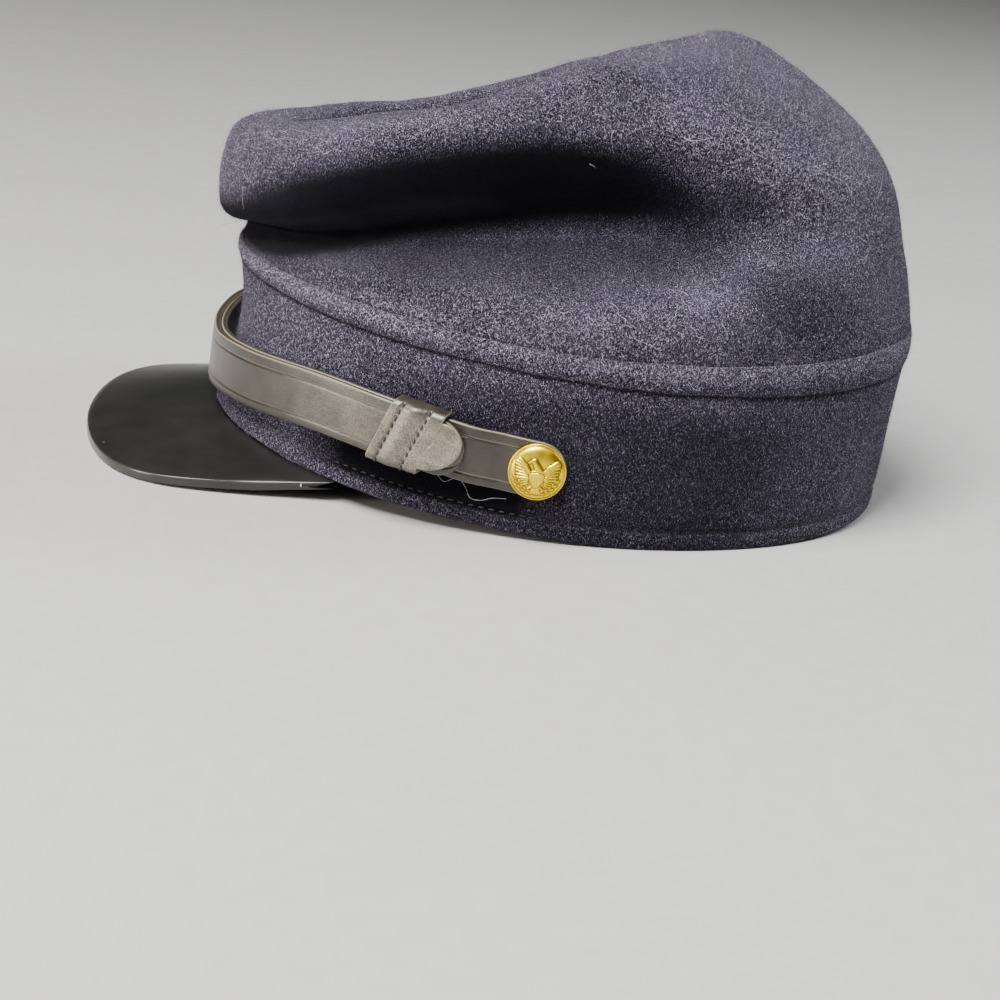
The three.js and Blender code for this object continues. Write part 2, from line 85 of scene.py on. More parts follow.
def finish(name, colour, roughness, **sockets):
    """A new material with its shader and its node tree."""
    made = bpy.data.materials.new(name)
    made.use_nodes = True
    shader = made.node_tree.nodes["Principled BSDF"]
    shader.inputs["Base Color"].default_value = (*colour, 1)
    shader.inputs["Roughness"].default_value = roughness
    for socket, value in sockets.items():
        shader.inputs[socket.replace("_", " ")].default_value = value
    return made, shader, made.node_tree


def link(tree, source, socket):
    """Links a socket, or the first output of a node."""
    tree.links.new(source.outputs[0] if isinstance(source, bpy.types.Node) else source, socket)


def node(tree, kind, inputs=(), **settings):
    """A node with its settings, and each named input set or linked."""
    made = tree.nodes.new(kind)
    for key, value in settings.items():
        setattr(made, key, value)
    for key, value in dict(inputs).items():
        if isinstance(value, (bpy.types.Node, bpy.types.NodeSocket)):
            link(tree, value, made.inputs[key])
        else:
            made.inputs[key].default_value = value
    return made


def object_place(tree):
    return node(tree, "ShaderNodeTexCoord").outputs["Object"]


def cloudy(tree, place, scale, detail, roughness=0.5):
    return node(tree, "ShaderNodeTexNoise", {"Vector": place, "Scale": scale, "Detail": detail, "Roughness": roughness})


def ramp(tree, factor, stops):
    made = node(tree, "ShaderNodeValToRGB", {"Fac": factor})
    made.color_ramp.elements[0].position, made.color_ramp.elements[1].position = stops[0][0], stops[-1][0]
    for position, _ in stops[1:-1]:
        made.color_ramp.elements.new(position)
    for element, (position, colour) in zip(made.color_ramp.elements, stops):
        element.color = colour if len(colour) == 4 else (*colour, 1)
    return made.outputs["Color"]


table_finish, table_shader, table_nodes = finish("matt_table", (0.41, 0.405, 0.395), 0.8)
table_grain = cloudy(table_nodes, object_place(table_nodes), 140, 5)
link(table_nodes, ramp(table_nodes, table_grain.outputs["Fac"], [
    (0.35, (0.40, 0.394, 0.385)), (0.65, (0.425, 0.419, 0.41))]), table_shader.inputs["Base Color"])
table_mesh = bpy.data.meshes.new("table_top")
table_mesh.from_pydata([(-12, -12, 0), (12, -12, 0), (12, 12, 0), (-12, 12, 0)], [], [(0, 1, 2, 3)])
table_top = bpy.data.objects.new("table_top", table_mesh)
table_top.data.materials.append(table_finish)
bpy.context.scene.collection.objects.link(table_top)

# Head band
# A strip of dark milled wool, faced inside, cut to the head's oval. Its lower edge is turned in and
# stitched down by machine, which pulls a shallow groove into the cloth about 5 mm above the edge.
head_length, head_width, oval_power = 202.0, 161.6, 0.949
band_wall, hem_turn, hem_height, hem_groove, hem_round = 2.2, 1.0, 5.5, 0.6, 0.7
hem_arch, rest_tilt, rest_flat = 6.26, math.radians(2.76), 0.25
band_flare, front_tuck, tuck_taper = 0.65, 4.4, 6
seam_rise, seam_arch = 46.3, 4.65
clearance = 0.3
lean = math.sin(rest_tilt)
tilt_rise = head_length / 2 * lean


def cos_and_sin(degrees):
    return math.cos(math.radians(degrees)), math.sin(math.radians(degrees))


def degrees_from_front(angle):
    return np.degrees(np.abs(np.arctan2(np.sin(angle), np.cos(angle))))


def signed_power(value, power):
    return np.sign(value) * np.abs(value) ** power


def on_oval(angle, height, out):
    return np.stack(np.broadcast_arrays(
        (head_width / 2 + out) * signed_power(np.sin(angle), oval_power),
        -(head_length / 2 + out) * np.cos(angle) + height * lean,
        height + 0 * angle), -1)


def outward(angle):
    along = on_oval(angle + 1e-3, 0, 0) - on_oval(angle - 1e-3, 0, 0)
    away = np.stack([along[..., 1], -along[..., 0], 0 * along[..., 0]], -1)
    return away / np.linalg.norm(away, axis=-1, keepdims=True)


def hem_z(angle):
    return np.maximum(0, hem_arch * (np.cos(angle) + tilt_rise / (2 * hem_arch)) ** 2 - rest_flat)


def seam_z(angle):
    return seam_rise + tilt_rise * np.cos(angle) + seam_arch * np.cos(angle) ** 2


def band_share(angle, height):
    return np.clip((height - hem_z(angle)) / (seam_z(angle) - hem_z(angle)), 0, 1)


def off_band(angle, height, out):
    share = band_share(angle, height)
    tuck = front_tuck * np.maximum(0, np.cos(angle)) ** tuck_taper * np.sin(0.85 * math.pi * share)
    return on_oval(angle, height, band_flare * share - tuck + out)


# The row's origin is under the middle of the whole cap, so everything moves back by this much.
half_turn = np.array([math.pi])
band_back = max(float(off_band(half_turn, z, 0)[0, 1]) for z in (seam_z(half_turn)[0] - clearance, 20.0))
row_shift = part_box("band")[1].y * 1000 - band_back


def skin(name, grid, around=True, section=True, uv=None, marks=None, look=None):
    """A mesh object through a grid of points (mm), closed around and across where it says."""
    rows, columns = grid.shape[:2]
    points = grid.reshape(-1, 3) + np.array([0, row_shift, 0])
    i = np.arange(rows if around else rows - 1)[:, None]
    j = np.arange(columns if section else columns - 1)[None, :]
    i2, j2 = (i + 1) % rows, (j + 1) % columns
    faces = np.stack([i * columns + j, i2 * columns + j, i2 * columns + j2, i * columns + j2], -1).reshape(-1, 4)
    faces = faces.tolist()
    if section and not around:
        faces += [list(range(columns))[::-1], [(rows - 1) * columns + k for k in range(columns)]]
    mesh = bpy.data.meshes.new(name)
    mesh.from_pydata((points / 1000).tolist(), [], faces)
    if section:
        corners = points[np.array(faces[:(rows if around else rows - 1) * columns])]
        centre = points.mean(0)
        volume = np.einsum("ij,ij->i", corners[:, 0] - centre, np.cross(
            corners[:, 1] - centre, corners[:, 2] - centre) + np.cross(
            corners[:, 2] - centre, corners[:, 3] - centre)).sum()
        if volume < 0:
            mesh.flip_normals()
    mesh.shade_smooth()
    if look:
        mesh.materials.append(look)
    if uv is not None:
        layer = mesh.uv_layers.new(name="cut")
        flat = uv.reshape(-1, 2)
        corner_of = np.zeros(len(mesh.loops), np.int32)
        mesh.loops.foreach_get("vertex_index", corner_of)
        layer.data.foreach_set("uv", flat[corner_of].ravel().astype(np.float32))
    for key, values in (marks or {}).items():
        mesh.attributes.new(key, "FLOAT", "POINT").data.foreach_set("value", values.ravel().astype(np.float32))
    made = bpy.data.objects.new(name, mesh)
    bpy.context.scene.collection.objects.link(made)
    return made


def uneven(grid, size, amount, seed=0.0):
    """Moves cloth a little to and fro, so that it lies as cloth does; the amount is in mm."""
    flat = grid.reshape(-1, 3)
    lift = np.array([noise.noise(Vector(p) / size + Vector((seed, 3.7 * seed, 1.3)))
        for p in flat]).reshape(grid.shape[:2])
    across = np.roll(grid, -1, 0) - np.roll(grid, 1, 0)
    up = np.gradient(grid, axis=1)
    away = np.cross(across, up)
    away /= np.maximum(np.linalg.norm(away, axis=-1, keepdims=True), 1e-9)
    return grid + away * (amount * lift)[..., None]


def maths(tree, operation, *values, **settings):
    return node(tree, "ShaderNodeMath", dict(enumerate(values)), operation=operation, **settings)


def mixed(tree, share, colour, other):
    return node(tree, "ShaderNodeMix", {0: share, 6: colour, 7: other}, data_type="RGBA").outputs[2]


def named_sockets(tree, inputs, outputs):
    """Gives a node group its named inputs and outputs, and returns the sockets inside it."""
    for socket, kind, value in inputs:
        made_socket = tree.interface.new_socket(name=socket, in_out="INPUT", socket_type="NodeSocket" + kind)
        if value is not None:
            made_socket.default_value = value
    for socket, kind in outputs:
        tree.interface.new_socket(name=socket, in_out="OUTPUT", socket_type="NodeSocket" + kind)
    return node(tree, "NodeGroupInput").outputs, node(tree, "NodeGroupOutput").inputs


def mark_on(tree, name):
    """A number that the mesh carries at each of its points, from 0 to 1 for the most part."""
    return node(tree, "ShaderNodeAttribute", attribute_name=name).outputs["Fac"]


# The milled cloth's look: a dark ground, blurred patches where the nap lies another way, and a felt
# of short fibres that run every way, the uppermost of them paler.
milled = bpy.data.node_groups.new("milled_wool", "ShaderNodeTree")
taken, given = named_sockets(milled, [
    ("Position", "Vector", None), ("Ground", "Color", (0.0024, 0.0021, 0.0032, 1)),
    ("Nap", "Color", (0.038, 0.0335, 0.052, 1)), ("Lint", "Color", (0.43, 0.385, 0.52, 1)), ("Painted light", "Float", 1.0),
    ("Fibres per metre", "Float", 4000.0), ("Patches per metre", "Float", 45.0)],
    [("Color", "Color"), ("Height", "Float")])
curl = cloudy(milled, taken["Position"], 600, 2)
curled = node(milled, "ShaderNodeVectorMath", {0: curl.outputs["Color"], "Scale": 0.0008}, operation="SCALE")
bent = node(milled, "ShaderNodeVectorMath", {0: taken["Position"], 1: curled}, operation="ADD")
strands = []
for number, turn in enumerate([(0.3, 0.5, 0.2), (1.5, 0.2, 1.1), (0.7, 1.3, 2.2), (2.2, 0.8, 0.4)]):
    laid = node(milled, "ShaderNodeMapping", {"Vector": bent, "Rotation": turn, "Scale": (1.0, 1.0, 0.3)})
    fine = cloudy(milled, laid, taken["Fibres per metre"], 2, 0.6)
    strands.append(fine.outputs["Fac"])
upper = strands[0]
for strand in strands[1:]:
    upper = maths(milled, "MAXIMUM", upper, strand)
tuft = cloudy(milled, taken["Position"], 1900, 3, 0.65)
patch = cloudy(milled, taken["Position"], taken["Patches per metre"], 3)
body = maths(milled, "MULTIPLY_ADD", patch.outputs["Fac"], 0.3, -0.15)
body = maths(milled, "ADD", tuft.outputs["Fac"], body)
shade = node(milled, "ShaderNodeMapRange", {"Value": body, "From Min": 0.38, "From Max": 0.64})
# the input that scales the nap and the lint paints shade below 1 and a highlight above 1
shade = maths(milled, "MULTIPLY", shade, taken["Painted light"])
ground = mixed(milled, shade, taken["Ground"], taken["Nap"])
pale = node(milled, "ShaderNodeMapRange", {"Value": upper, "From Min": 0.63, "From Max": 0.72})
pale = maths(milled, "MULTIPLY", pale, taken["Painted light"])
lint = mixed(milled, pale, ground, taken["Lint"])
link(milled, lint, given["Color"])
rise = maths(milled, "MULTIPLY_ADD", tuft.outputs["Fac"], 0.8, upper)
link(milled, rise, given["Height"])

wool, wool_shader, wool_nodes = finish("milled_wool", (0.03, 0.028, 0.04), 0.95, Sheen_Weight=0.06,
    Sheen_Roughness=0.45,
                                       Sheen_Tint=(0.78, 0.73, 0.90, 1), Specular_IOR_Level=0.03)
# painted shade and painted highlight carried by the mesh: at 1 the cloth is painted dark, below 0 it is painted paler
painted_shade = mark_on(wool_nodes, "painted_shade")
painted_light = maths(wool_nodes, "MULTIPLY_ADD", painted_shade, -1.0, 1.0)
felt = node(wool_nodes, "ShaderNodeGroup", {"Painted light": painted_light}, node_tree=milled)
link(wool_nodes, object_place(wool_nodes), felt.inputs["Position"])
link(wool_nodes, felt.outputs["Color"], wool_shader.inputs["Base Color"])
wool_bump = node(wool_nodes, "ShaderNodeBump", {"Height": felt.outputs["Height"], "Strength": 0.9, "Distance": 0.0004})
link(wool_nodes, wool_bump, wool_shader.inputs["Normal"])

# Short fibres that stand off the cloth are real ribbons, laid nearly flat and every way
nap_finish, nap_shader, nap_nodes = finish("nap_fibre", (0.1, 0.095, 0.12), 0.8, Specular_IOR_Level=0.02)
fibre_tone = mark_on(nap_nodes, "tone")
# the fibres take the same painted shade and painted highlight as the cloth under them
painted_shade = mark_on(nap_nodes, "painted_shade")
tone = maths(nap_nodes, "MULTIPLY_ADD", painted_shade, -1.0, fibre_tone,
            use_clamp=True)
link(nap_nodes, ramp(nap_nodes, tone, [
    (0.0, (0.001, 0.0009, 0.0012)), (0.4, (0.011, 0.0097, 0.015)), (0.72, (0.098, 0.087, 0.124)),
    (1.0, (0.64, 0.58, 0.72))]),
    nap_shader.inputs["Base Color"])


def hand_over(tree, made, taken, given):
    """Ends a geometry tree: real instances, in the material that it was given."""
    real = node(tree, "GeometryNodeRealizeInstances", {"Geometry": made})
    coloured = node(tree, "GeometryNodeSetMaterial", {"Geometry": real, "Material": taken["Material"]})
    link(tree, coloured, given["Geometry"])


def at_random(tree, seed, least=0.0, most=1.0):
    drawn = node(tree, "FunctionNodeRandomValue", {2: least, 3: most, "Seed": seed}, data_type="FLOAT")
    return [socket for socket in drawn.outputs if socket.enabled][0]


nap_tree = bpy.data.node_groups.new("nap", "GeometryNodeTree")
taken, given = named_sockets(nap_tree, [
    ("Geometry", "Geometry", None), ("Fibres per square metre", "Float", 6e5),
    ("Length", "Float", 0.0007), ("Width", "Float", 0.000055), ("Curl", "Float", 0.5),
    ("Lift", "Float", 0.15), ("Joints", "Int", 2), ("Least lean", "Float", 0.95),
    ("Most lean", "Float", 1.5), ("Least tone", "Float", 0.0), ("Seed", "Int", 1),
    ("Material", "Material", None)], [("Geometry", "Geometry")])
spots = node(nap_tree, "GeometryNodeDistributePointsOnFaces", {
    "Mesh": taken["Geometry"], "Density": taken["Fibres per square metre"], "Seed": taken["Seed"]})
strip = node(nap_tree, "GeometryNodeMeshGrid",
    {"Size X": 1.0, "Size Y": 1.0, "Vertices X": 2, "Vertices Y": taken["Joints"]})
where = node(nap_tree, "ShaderNodeSeparateXYZ", {0: node(nap_tree, "GeometryNodeInputPosition")})
along = maths(nap_tree, "ADD", where.outputs["Y"], 0.5)
taper = maths(nap_tree, "MULTIPLY_ADD", along, -0.6, 1.0)
wide = maths(nap_tree, "MULTIPLY", where.outputs["X"], taken["Width"])
wide = maths(nap_tree, "MULTIPLY", wide, taper)
squared = maths(nap_tree, "MULTIPLY", along, along)
sweep = maths(nap_tree, "MULTIPLY", squared, taken["Curl"])
sweep = maths(nap_tree, "MULTIPLY", sweep, taken["Length"])
reach = maths(nap_tree, "MULTIPLY", along, taken["Length"])
aside = maths(nap_tree, "ADD", wide, sweep)
raised = maths(nap_tree, "MULTIPLY", reach, taken["Lift"])
raised = maths(nap_tree, "MULTIPLY", raised, along)
shaped = node(nap_tree, "ShaderNodeCombineXYZ", {"X": aside, "Y": raised, "Z": reach})
fibre = node(nap_tree, "GeometryNodeSetPosition", {"Geometry": strip.outputs["Mesh"], "Position": shaped})
leaned = at_random(nap_tree, taken["Seed"], taken["Least lean"], taken["Most lean"])
spun = at_random(nap_tree, 11, most=2 * math.pi)
turned = node(nap_tree, "ShaderNodeCombineXYZ", {"X": leaned, "Z": spun})
turned = node(nap_tree, "FunctionNodeEulerToRotation", {0: turned})
facing = node(nap_tree, "FunctionNodeRotateRotation", {
    "Rotation": spots.outputs["Rotation"], "Rotate By": turned}, rotation_space="LOCAL")
grown = at_random(nap_tree, 23, 0.35, 1.25)
planted = node(nap_tree, "GeometryNodeInstanceOnPoints", {
    "Points": spots.outputs["Points"], "Instance": fibre, "Rotation": facing, "Scale": grown})
toned = at_random(nap_tree, 37, taken["Least tone"])
marked = node(nap_tree, "GeometryNodeStoreNamedAttribute", {"Geometry": planted, "Name": "tone"},
              data_type="FLOAT", domain="INSTANCE")
link(nap_tree, toned, [s for s in marked.inputs if s.name == "Value" and s.enabled][0])
hand_over(nap_tree, marked, taken, given)


def grow(base, tree, values):
    """Runs a node tree on an object with these named inputs and keeps the result as its plain mesh."""
    growth = base.modifiers.new(tree.name, "NODES")
    growth.node_group = tree
    for item in tree.interface.items_tree:
        if item.in_out == "INPUT" and item.name in values:
            growth[item.identifier] = values[item.name]
    grown_mesh = bpy.data.meshes.new_from_object(base.evaluated_get(bpy.context.evaluated_depsgraph_get()))
    base.modifiers.clear()
    old = base.data
    base.data = grown_mesh
    bpy.data.meshes.remove(old)
    return base


def nap_on(name, grid, short, curled, seed, marks=None):
    """A felt of short fibres, some longer curled ones, and a few pale stray hairs, on the outside of a cloth."""
    made = []
    for number, share in enumerate(short):
        made.append((f"{name}_{number + 1}", {"Fibres per square metre": share, "Seed": seed + number}))
    made.append((f"{name}_curled", {"Fibres per square metre": curled, "Length": 0.0017, "Width": 0.00005, "Joints": 4,
        "Curl": 0.8,
                                    "Lift": 0.35, "Seed": seed + 20}))
    made.append((f"{name}_stray", {"Fibres per square metre": 2600.0, "Length": 0.0052, "Width": 0.00011, "Joints": 10,
        "Curl": 0.9,
                                   "Lift": 0.3, "Least lean": 1.1, "Least tone": 0.85, "Seed": seed + 40}))
    for piece, values in made:
        wear(grow(skin(piece, grid, section=False, marks=marks), nap_tree, {**values, "Material": nap_finish}), "wool")


def wear(piece, slot, *nodes):
    """The piece goes with the cap, and the model's parts that it replaces are hidden; its slot is not used."""
    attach(piece, "root")
    if nodes:
        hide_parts(*nodes)


band_columns = 360
around = np.linspace(0, 2 * math.pi, band_columns, endpoint=False)
low, high = hem_z(around), seam_z(around) + 0.9
groove = low + hem_height
rise_steps = np.sin(np.linspace(0, math.pi / 2, 20))
band_section = [(low, -band_wall - hem_turn + hem_round)]
band_section += [(low, -hem_round - 0.6), (low, -hem_round)]
for turn in (30, 60):
    c, s = cos_and_sin(turn)
    band_section.append((low + hem_round * (1 - c), -hem_round * (1 - s)))
band_section += [(low + hem_round + 0.15, 0 * low), (low + 2.6, 0.18 + 0 * low), (groove - 1.6, 0.05 + 0 * low),
                 (groove - 0.8, -0.2 + 0 * low), (groove - 0.3, -hem_groove + 0 * low),
                 (groove + 0.25, -hem_groove + 0 * low),
                 (groove + 0.8, -0.22 + 0 * low), (groove + 1.6, 0 * low)]
for share in rise_steps[1:]:
    up_to = groove + 1.6 + (high - groove - 1.6) * share
    band_section.append((up_to, -0.5 * np.clip(1 - (high - up_to) / 2, 0, 1)))
band_section += [(high, -band_wall / 2), (high, -band_wall), ((high + groove) / 2, -band_wall), (groove, -band_wall),
                 (groove - hem_groove, -band_wall - hem_turn), (low + hem_round, -band_wall - hem_turn)]
band_grid = np.stack([off_band(around, z, o + 0 * around) for z, o in band_section], 1)
outer_band = slice(2, 13 + len(rise_steps) - 1)
soft = uneven(band_grid, 22, 0.45, 1.0)
soft = uneven(soft, 7, 0.16, 2.0)
away_from_rest = np.clip((band_grid[..., 2] - 0.2) / 3, 0, 1)[..., None]
band_grid = band_grid + (soft - band_grid) * away_from_rest
# painted shade on the band: darker round its sides by angle and downward from 3 mm under the seam, and dark in the seam
# itself; a painted highlight from about 0.3 mm to 5 mm under the seam
band_painted_shade = np.interp(degrees_from_front(around),
    [0, 45, 62, 75, 112, 125, 140, 180], [0, 0, 0.38, 0.54, 0.57, 0.28, 0.02, 0])
below_seam = seam_z(around)[:, None] - band_grid[..., 2]
band_painted_shade = band_painted_shade[:, None] * np.clip((below_seam - 3) / 8, 0, 1) ** 0.7
band_painted_shade -= 0.4 * np.clip((below_seam - 0.3) / 0.5, 0, 1) * np.clip((5.2 - below_seam) / 3, 0, 1)
band_painted_shade = np.maximum(band_painted_shade, np.clip(1 - below_seam / 0.5, -1, 0.8))
# the dark under the strap is painted shadow, set one by one as all these marks are
from_front = degrees_from_front(around)[:, None]
up_share = (band_grid[..., 2] - hem_z(around)[:, None]) / (seam_z(around) - hem_z(around))[:, None]
strap_painted_shadow = np.interp(from_front, [40, 50, 80, 87], [0, 1, 1, 0]) * np.clip((0.34 - up_share) / 0.03, 0,
    1) * np.clip((up_share - 0.06) / 0.05, 0, 1)
band_painted_shade = np.maximum(band_painted_shade, strap_painted_shadow)
band = skin("head_band", band_grid, marks={"painted_shade": band_painted_shade}, look=wool)
wear(band, "wool", "band")
nap_on("head_band_nap", band_grid[:, outer_band], [2.0e6], 4.0e5, 3, {"painted_shade": band_painted_shade[:, outer_band]})

# Hem stitches
# One row of machine stitching in waxed grey thread holds the turned edge. It shows as short pale
# dashes sunk in the groove toward the front; farther back its colour is darkened nearly to black, a painted shade.
thread_finish, thread_shader, thread_nodes = finish("hem_thread", (0.3, 0.29, 0.35), 0.6)
twist = cloudy(thread_nodes, object_place(thread_nodes), 900, 2)
pale_thread = ramp(thread_nodes, twist.outputs["Fac"], [(0.3, (0.045, 0.042, 0.052)), (0.7, (0.16, 0.152, 0.185))])
# the thread turns nearly black from the side toward the back: a painted shade
from_peak = node(thread_nodes, "ShaderNodeSeparateXYZ", {0: object_place(thread_nodes)})
from_peak = node(thread_nodes, "ShaderNodeMapRange",
    {"Value": from_peak.outputs["Y"], "From Min": -0.09, "From Max": -0.055})
thread_painted_shade = mixed(thread_nodes, from_peak, pale_thread, (0.004, 0.0035, 0.005, 1))
link(thread_nodes, thread_painted_shade, thread_shader.inputs["Base Color"])
stitch_tree = bpy.data.node_groups.new("stitches", "GeometryNodeTree")
taken, given = named_sockets(stitch_tree, [
    ("Geometry", "Geometry", None), ("Pitch", "Float", 0.003), ("Length", "Float", 0.0022),
    ("Width", "Float", 0.0005), ("Slant", "Float", 0.0), ("Material", "Material", None)], [("Geometry", "Geometry")])
path = node(stitch_tree, "GeometryNodeMeshToCurve", {"Mesh": taken["Geometry"]})
even = node(stitch_tree, "GeometryNodeResampleCurve", {"Curve": path, "Length": taken["Pitch"]}, mode="LENGTH")
bead = node(stitch_tree, "GeometryNodeMeshIcoSphere", {"Radius": 0.5, "Subdivisions": 2})
sized = node(stitch_tree, "ShaderNodeCombineXYZ", {"X": taken["Length"], "Y": taken["Width"], "Z": taken["Width"]})
bead = node(stitch_tree, "GeometryNodeTransform", {"Geometry": bead.outputs["Mesh"], "Scale": sized})
way = node(stitch_tree, "GeometryNodeInputTangent")
along_way = node(stitch_tree, "FunctionNodeAlignRotationToVector", {"Vector": way}, axis="X")
off_face = node(stitch_tree, "GeometryNodeInputNamedAttribute", {"Name": "off_face"}, data_type="FLOAT_VECTOR")
upright = node(stitch_tree, "FunctionNodeAlignRotationToVector", {
    "Rotation": along_way, "Vector": off_face}, axis="Z", pivot_axis="X")
slant = node(stitch_tree, "ShaderNodeCombineXYZ", {"Z": taken["Slant"]})
slant = node(stitch_tree, "FunctionNodeEulerToRotation", {0: slant})
slanted = node(stitch_tree, "FunctionNodeRotateRotation", {
    "Rotation": upright, "Rotate By": slant}, rotation_space="LOCAL")
sewn = node(stitch_tree, "GeometryNodeInstanceOnPoints", {
    "Points": even, "Instance": bead, "Rotation": slanted})
hand_over(stitch_tree, sewn, taken, given)


def stitch_line(name, points, away):
    """A line of edges for stitches to follow, with the way that the cloth faces under each point."""
    mesh = bpy.data.meshes.new(name)
    mesh.from_pydata(((points + np.array([0, row_shift, 0])) / 1000).tolist(),
        [(i, i + 1) for i in range(len(points) - 1)], [])
    mesh.attributes.new("off_face", "FLOAT_VECTOR", "POINT").data.foreach_set("vector", away.ravel().astype(np.float32))
    made = bpy.data.objects.new(name, mesh)
    bpy.context.scene.collection.objects.link(made)
    return made


hem_line = np.linspace(0, 2 * math.pi, 721)
hem_stitches = stitch_line("hem_stitches", off_band(hem_line, hem_z(hem_line) + hem_height, -0.52 + 0 * hem_line),
    outward(hem_line))
grow(hem_stitches, stitch_tree, {"Pitch": 0.0029, "Length": 0.0018, "Width": 0.0005, "Slant": 0.08,
    "Material": thread_finish})
wear(hem_stitches, "thread")

# Welt
# A narrow strip of the same wool, folded double over a cord and caught in the seam between the
# band and the crown. It is flattened at the front, where the crown sits down on it.
welt_front, welt_back, welt_swell, welt_proud = 4.5, 10.8, 1.0, 1.15


def welt_height(angle):
    swell = welt_swell * 4 * (np.maximum(0, np.cos(angle)) * np.sin(angle)) ** 2
    return (welt_front + welt_back) / 2 + (welt_front - welt_back) / 2 * np.cos(angle) + swell


bottom, tall = seam_z(around), welt_height(around)
welt_turns = np.linspace(-math.pi / 2, math.pi / 2, 17)
welt_section = [off_band(around, bottom, -band_wall + 0 * around)]
welt_section += [off_band(around, bottom + tall * (0.5 + 0.5 * math.sin(t)),
    welt_proud * max(math.cos(t), 0) - 0.15 + 0 * around)
                 for t in welt_turns]
welt_section += [off_band(around, bottom + tall, -band_wall + 0 * around)]
welt_grid = np.stack(welt_section, 1)
welt_grid[:, 1:-1] = uneven(uneven(welt_grid[:, 1:-1], 16, 0.5, 3.0), 6, 0.2, 4.0)
up_welt = (welt_grid[..., 2] - bottom[:, None]) / tall[:, None]
# painted shade low in the seam and a painted highlight over the welt's middle and top
welt_painted_shade = np.clip(1 - up_welt / 0.09, 0, 0.9) - 0.32 * np.clip((up_welt - 0.3) / 0.2, 0,
    1) * np.clip((1.05 - up_welt) / 0.15, 0, 1)
welt = skin("welt_strip", welt_grid, marks={"painted_shade": welt_painted_shade}, look=wool)
wear(welt, "wool", "welt")
nap_on("welt_nap", welt_grid[:, 1:-1], [2.2e6], 5.0e5, 5, {"painted_shade": welt_painted_shade[:, 1:-1]})

# Crown side
# The tall soft side of the crown, cut from one layer of milled wool. It has no stiffening, so it falls
# forward over the band in a deep fold and stands up in a loose roll at the back.
crown_wall, top_length, top_width = 2.0, 114.8, 114.8
top_centre_y, top_centre_z = -34.9, 110.1
top_pitch, top_roll, top_curl, top_warp = 16.5, 6.0, 3.6, 5.0
loose_cloth, far_folds, rim_turn, rim_drop = 20.0, 0.75, 5.0, 2.6
crown_folds = {
    "angle": [0, 30, 60, 90, 112, 130, 150, 180],
    "lip": [(0.00, 0.06), (0.06, 0.10), (0.15, 0.18), (0.22, 0.20), (0.30, 0.20), (0.48, 0.23), (0.66, 0.24),
    (0.80, 0.25)],
    "crease": [(-0.28, 0.14), (-0.50, 0.25), (-0.62, 0.43), (-0.60, 0.50), (-0.40, 0.48), (0.22, 0.46), (1.02, 0.45),
    (1.40, 0.46)],
    "under": [(0.36, 0.19), (0.26, 0.38), (0.08, 0.61), (-0.05, 0.68), (0.02, 0.64), (0.46, 0.63), (1.32, 0.62),
    (1.82, 0.65)],
    "roll": [(0.54, 0.44), (0.48, 0.60), (0.32, 0.77), (0.22, 0.82), (0.32, 0.80), (0.72, 0.80), (1.36, 0.80),
    (1.86, 0.81)],
    "shoulder": [(0.44, 0.88), (0.38, 0.90), (0.25, 0.95), (0.20, 0.96), (0.32, 0.98), (0.50, 0.99), (0.80, 1.00),
    (1.10, 1.07)],
}
rim_warp = {"angle": [0, 40, 70, 84, 102, 122, 150, 180, 225, 245, 262, 276, 294, 315, 360],
            "rise": [0.0, -0.2, -0.05, 0.1, 0.62, 0.95, 0.45, 0.0, -0.2, -0.52, -0.85, -0.85, -0.5, -0.38, 0.0]}


def from_table(angles, values, degrees):
    """Smooth values between the rows of a table, level at its first and last row."""
    angles, values = np.array(angles, float), np.array(values, float)
    slopes = np.zeros_like(values)
    slopes[1:-1] = (values[2:] - values[:-2]) / (angles[2:] - angles[:-2])
    row = np.clip(np.searchsorted(angles, degrees, side="left") - 1, 0, len(angles) - 2)
    span = angles[row + 1] - angles[row]
    share = np.clip((degrees - angles[row]) / span, 0, 1)
    square, cube = share ** 2, share ** 3
    return ((2 * cube - 3 * square + 1) * values[row] + (cube - 2 * square + share) * span * slopes[row]
            + (3 * square - 2 * cube) * values[row + 1] + (cube - square) * span * slopes[row + 1])


def crown_rim(angle, inward, down):
    side, forward = np.sin(angle), -np.cos(angle)
    warp = top_warp * from_table(rim_warp["angle"], rim_warp["rise"], np.degrees(angle) % 360)
    return np.stack([(top_width / 2 - inward) * side, top_centre_y + (top_length / 2 - inward) * forward,
                     top_centre_z + top_pitch * forward + top_curl * forward ** 2 + top_roll * side + warp - down], -1)


def through_points(keys, steps):
    """A smooth curve through each row's points, even between them where they crowd together."""
    first = 2 * keys[:, :1] - keys[:, 1:2]
    last = 2 * keys[:, -1:] - keys[:, -2:-1]
    line = np.concatenate([first, keys, last], 1)
    gaps = np.linalg.norm(np.diff(line, axis=1), axis=-1, keepdims=True) ** 0.5
    found = []
    for part, count in enumerate(steps):
        a, b, c, d = (line[:, part + k] for k in range(4))
        g0, g1, g2 = (gaps[:, part + k] for k in range(3))
        start = ((b - a) / g0 - (c - a) / (g0 + g1) + (c - b) / g1) * g1
        end = ((c - b) / g1 - (d - b) / (g1 + g2) + (d - c) / g2) * g1
        for t in np.arange(count) / count:
            found.append(b + start * t + (3 * (c - b) - 2 * start - end) * t ** 2 + (2 * (b - c) + start + end)
                * t ** 3)
    return np.stack(found + [keys[:, -1]], 1)


# the second number paints shade over the crown's inner face
crown_columns, inside_painted_shade = 320, 0.6
crown_around = np.linspace(0, 2 * math.pi, crown_columns, endpoint=False)
welt_top = seam_z(crown_around) + welt_height(crown_around)
foot = off_band(crown_around, welt_top + clearance, -0.8 + 0 * crown_around)
rim = crown_rim(crown_around, 0, 0)
away = outward(crown_around)
from_front = degrees_from_front(crown_around)
far_side = np.maximum(0, -np.sin(crown_around))
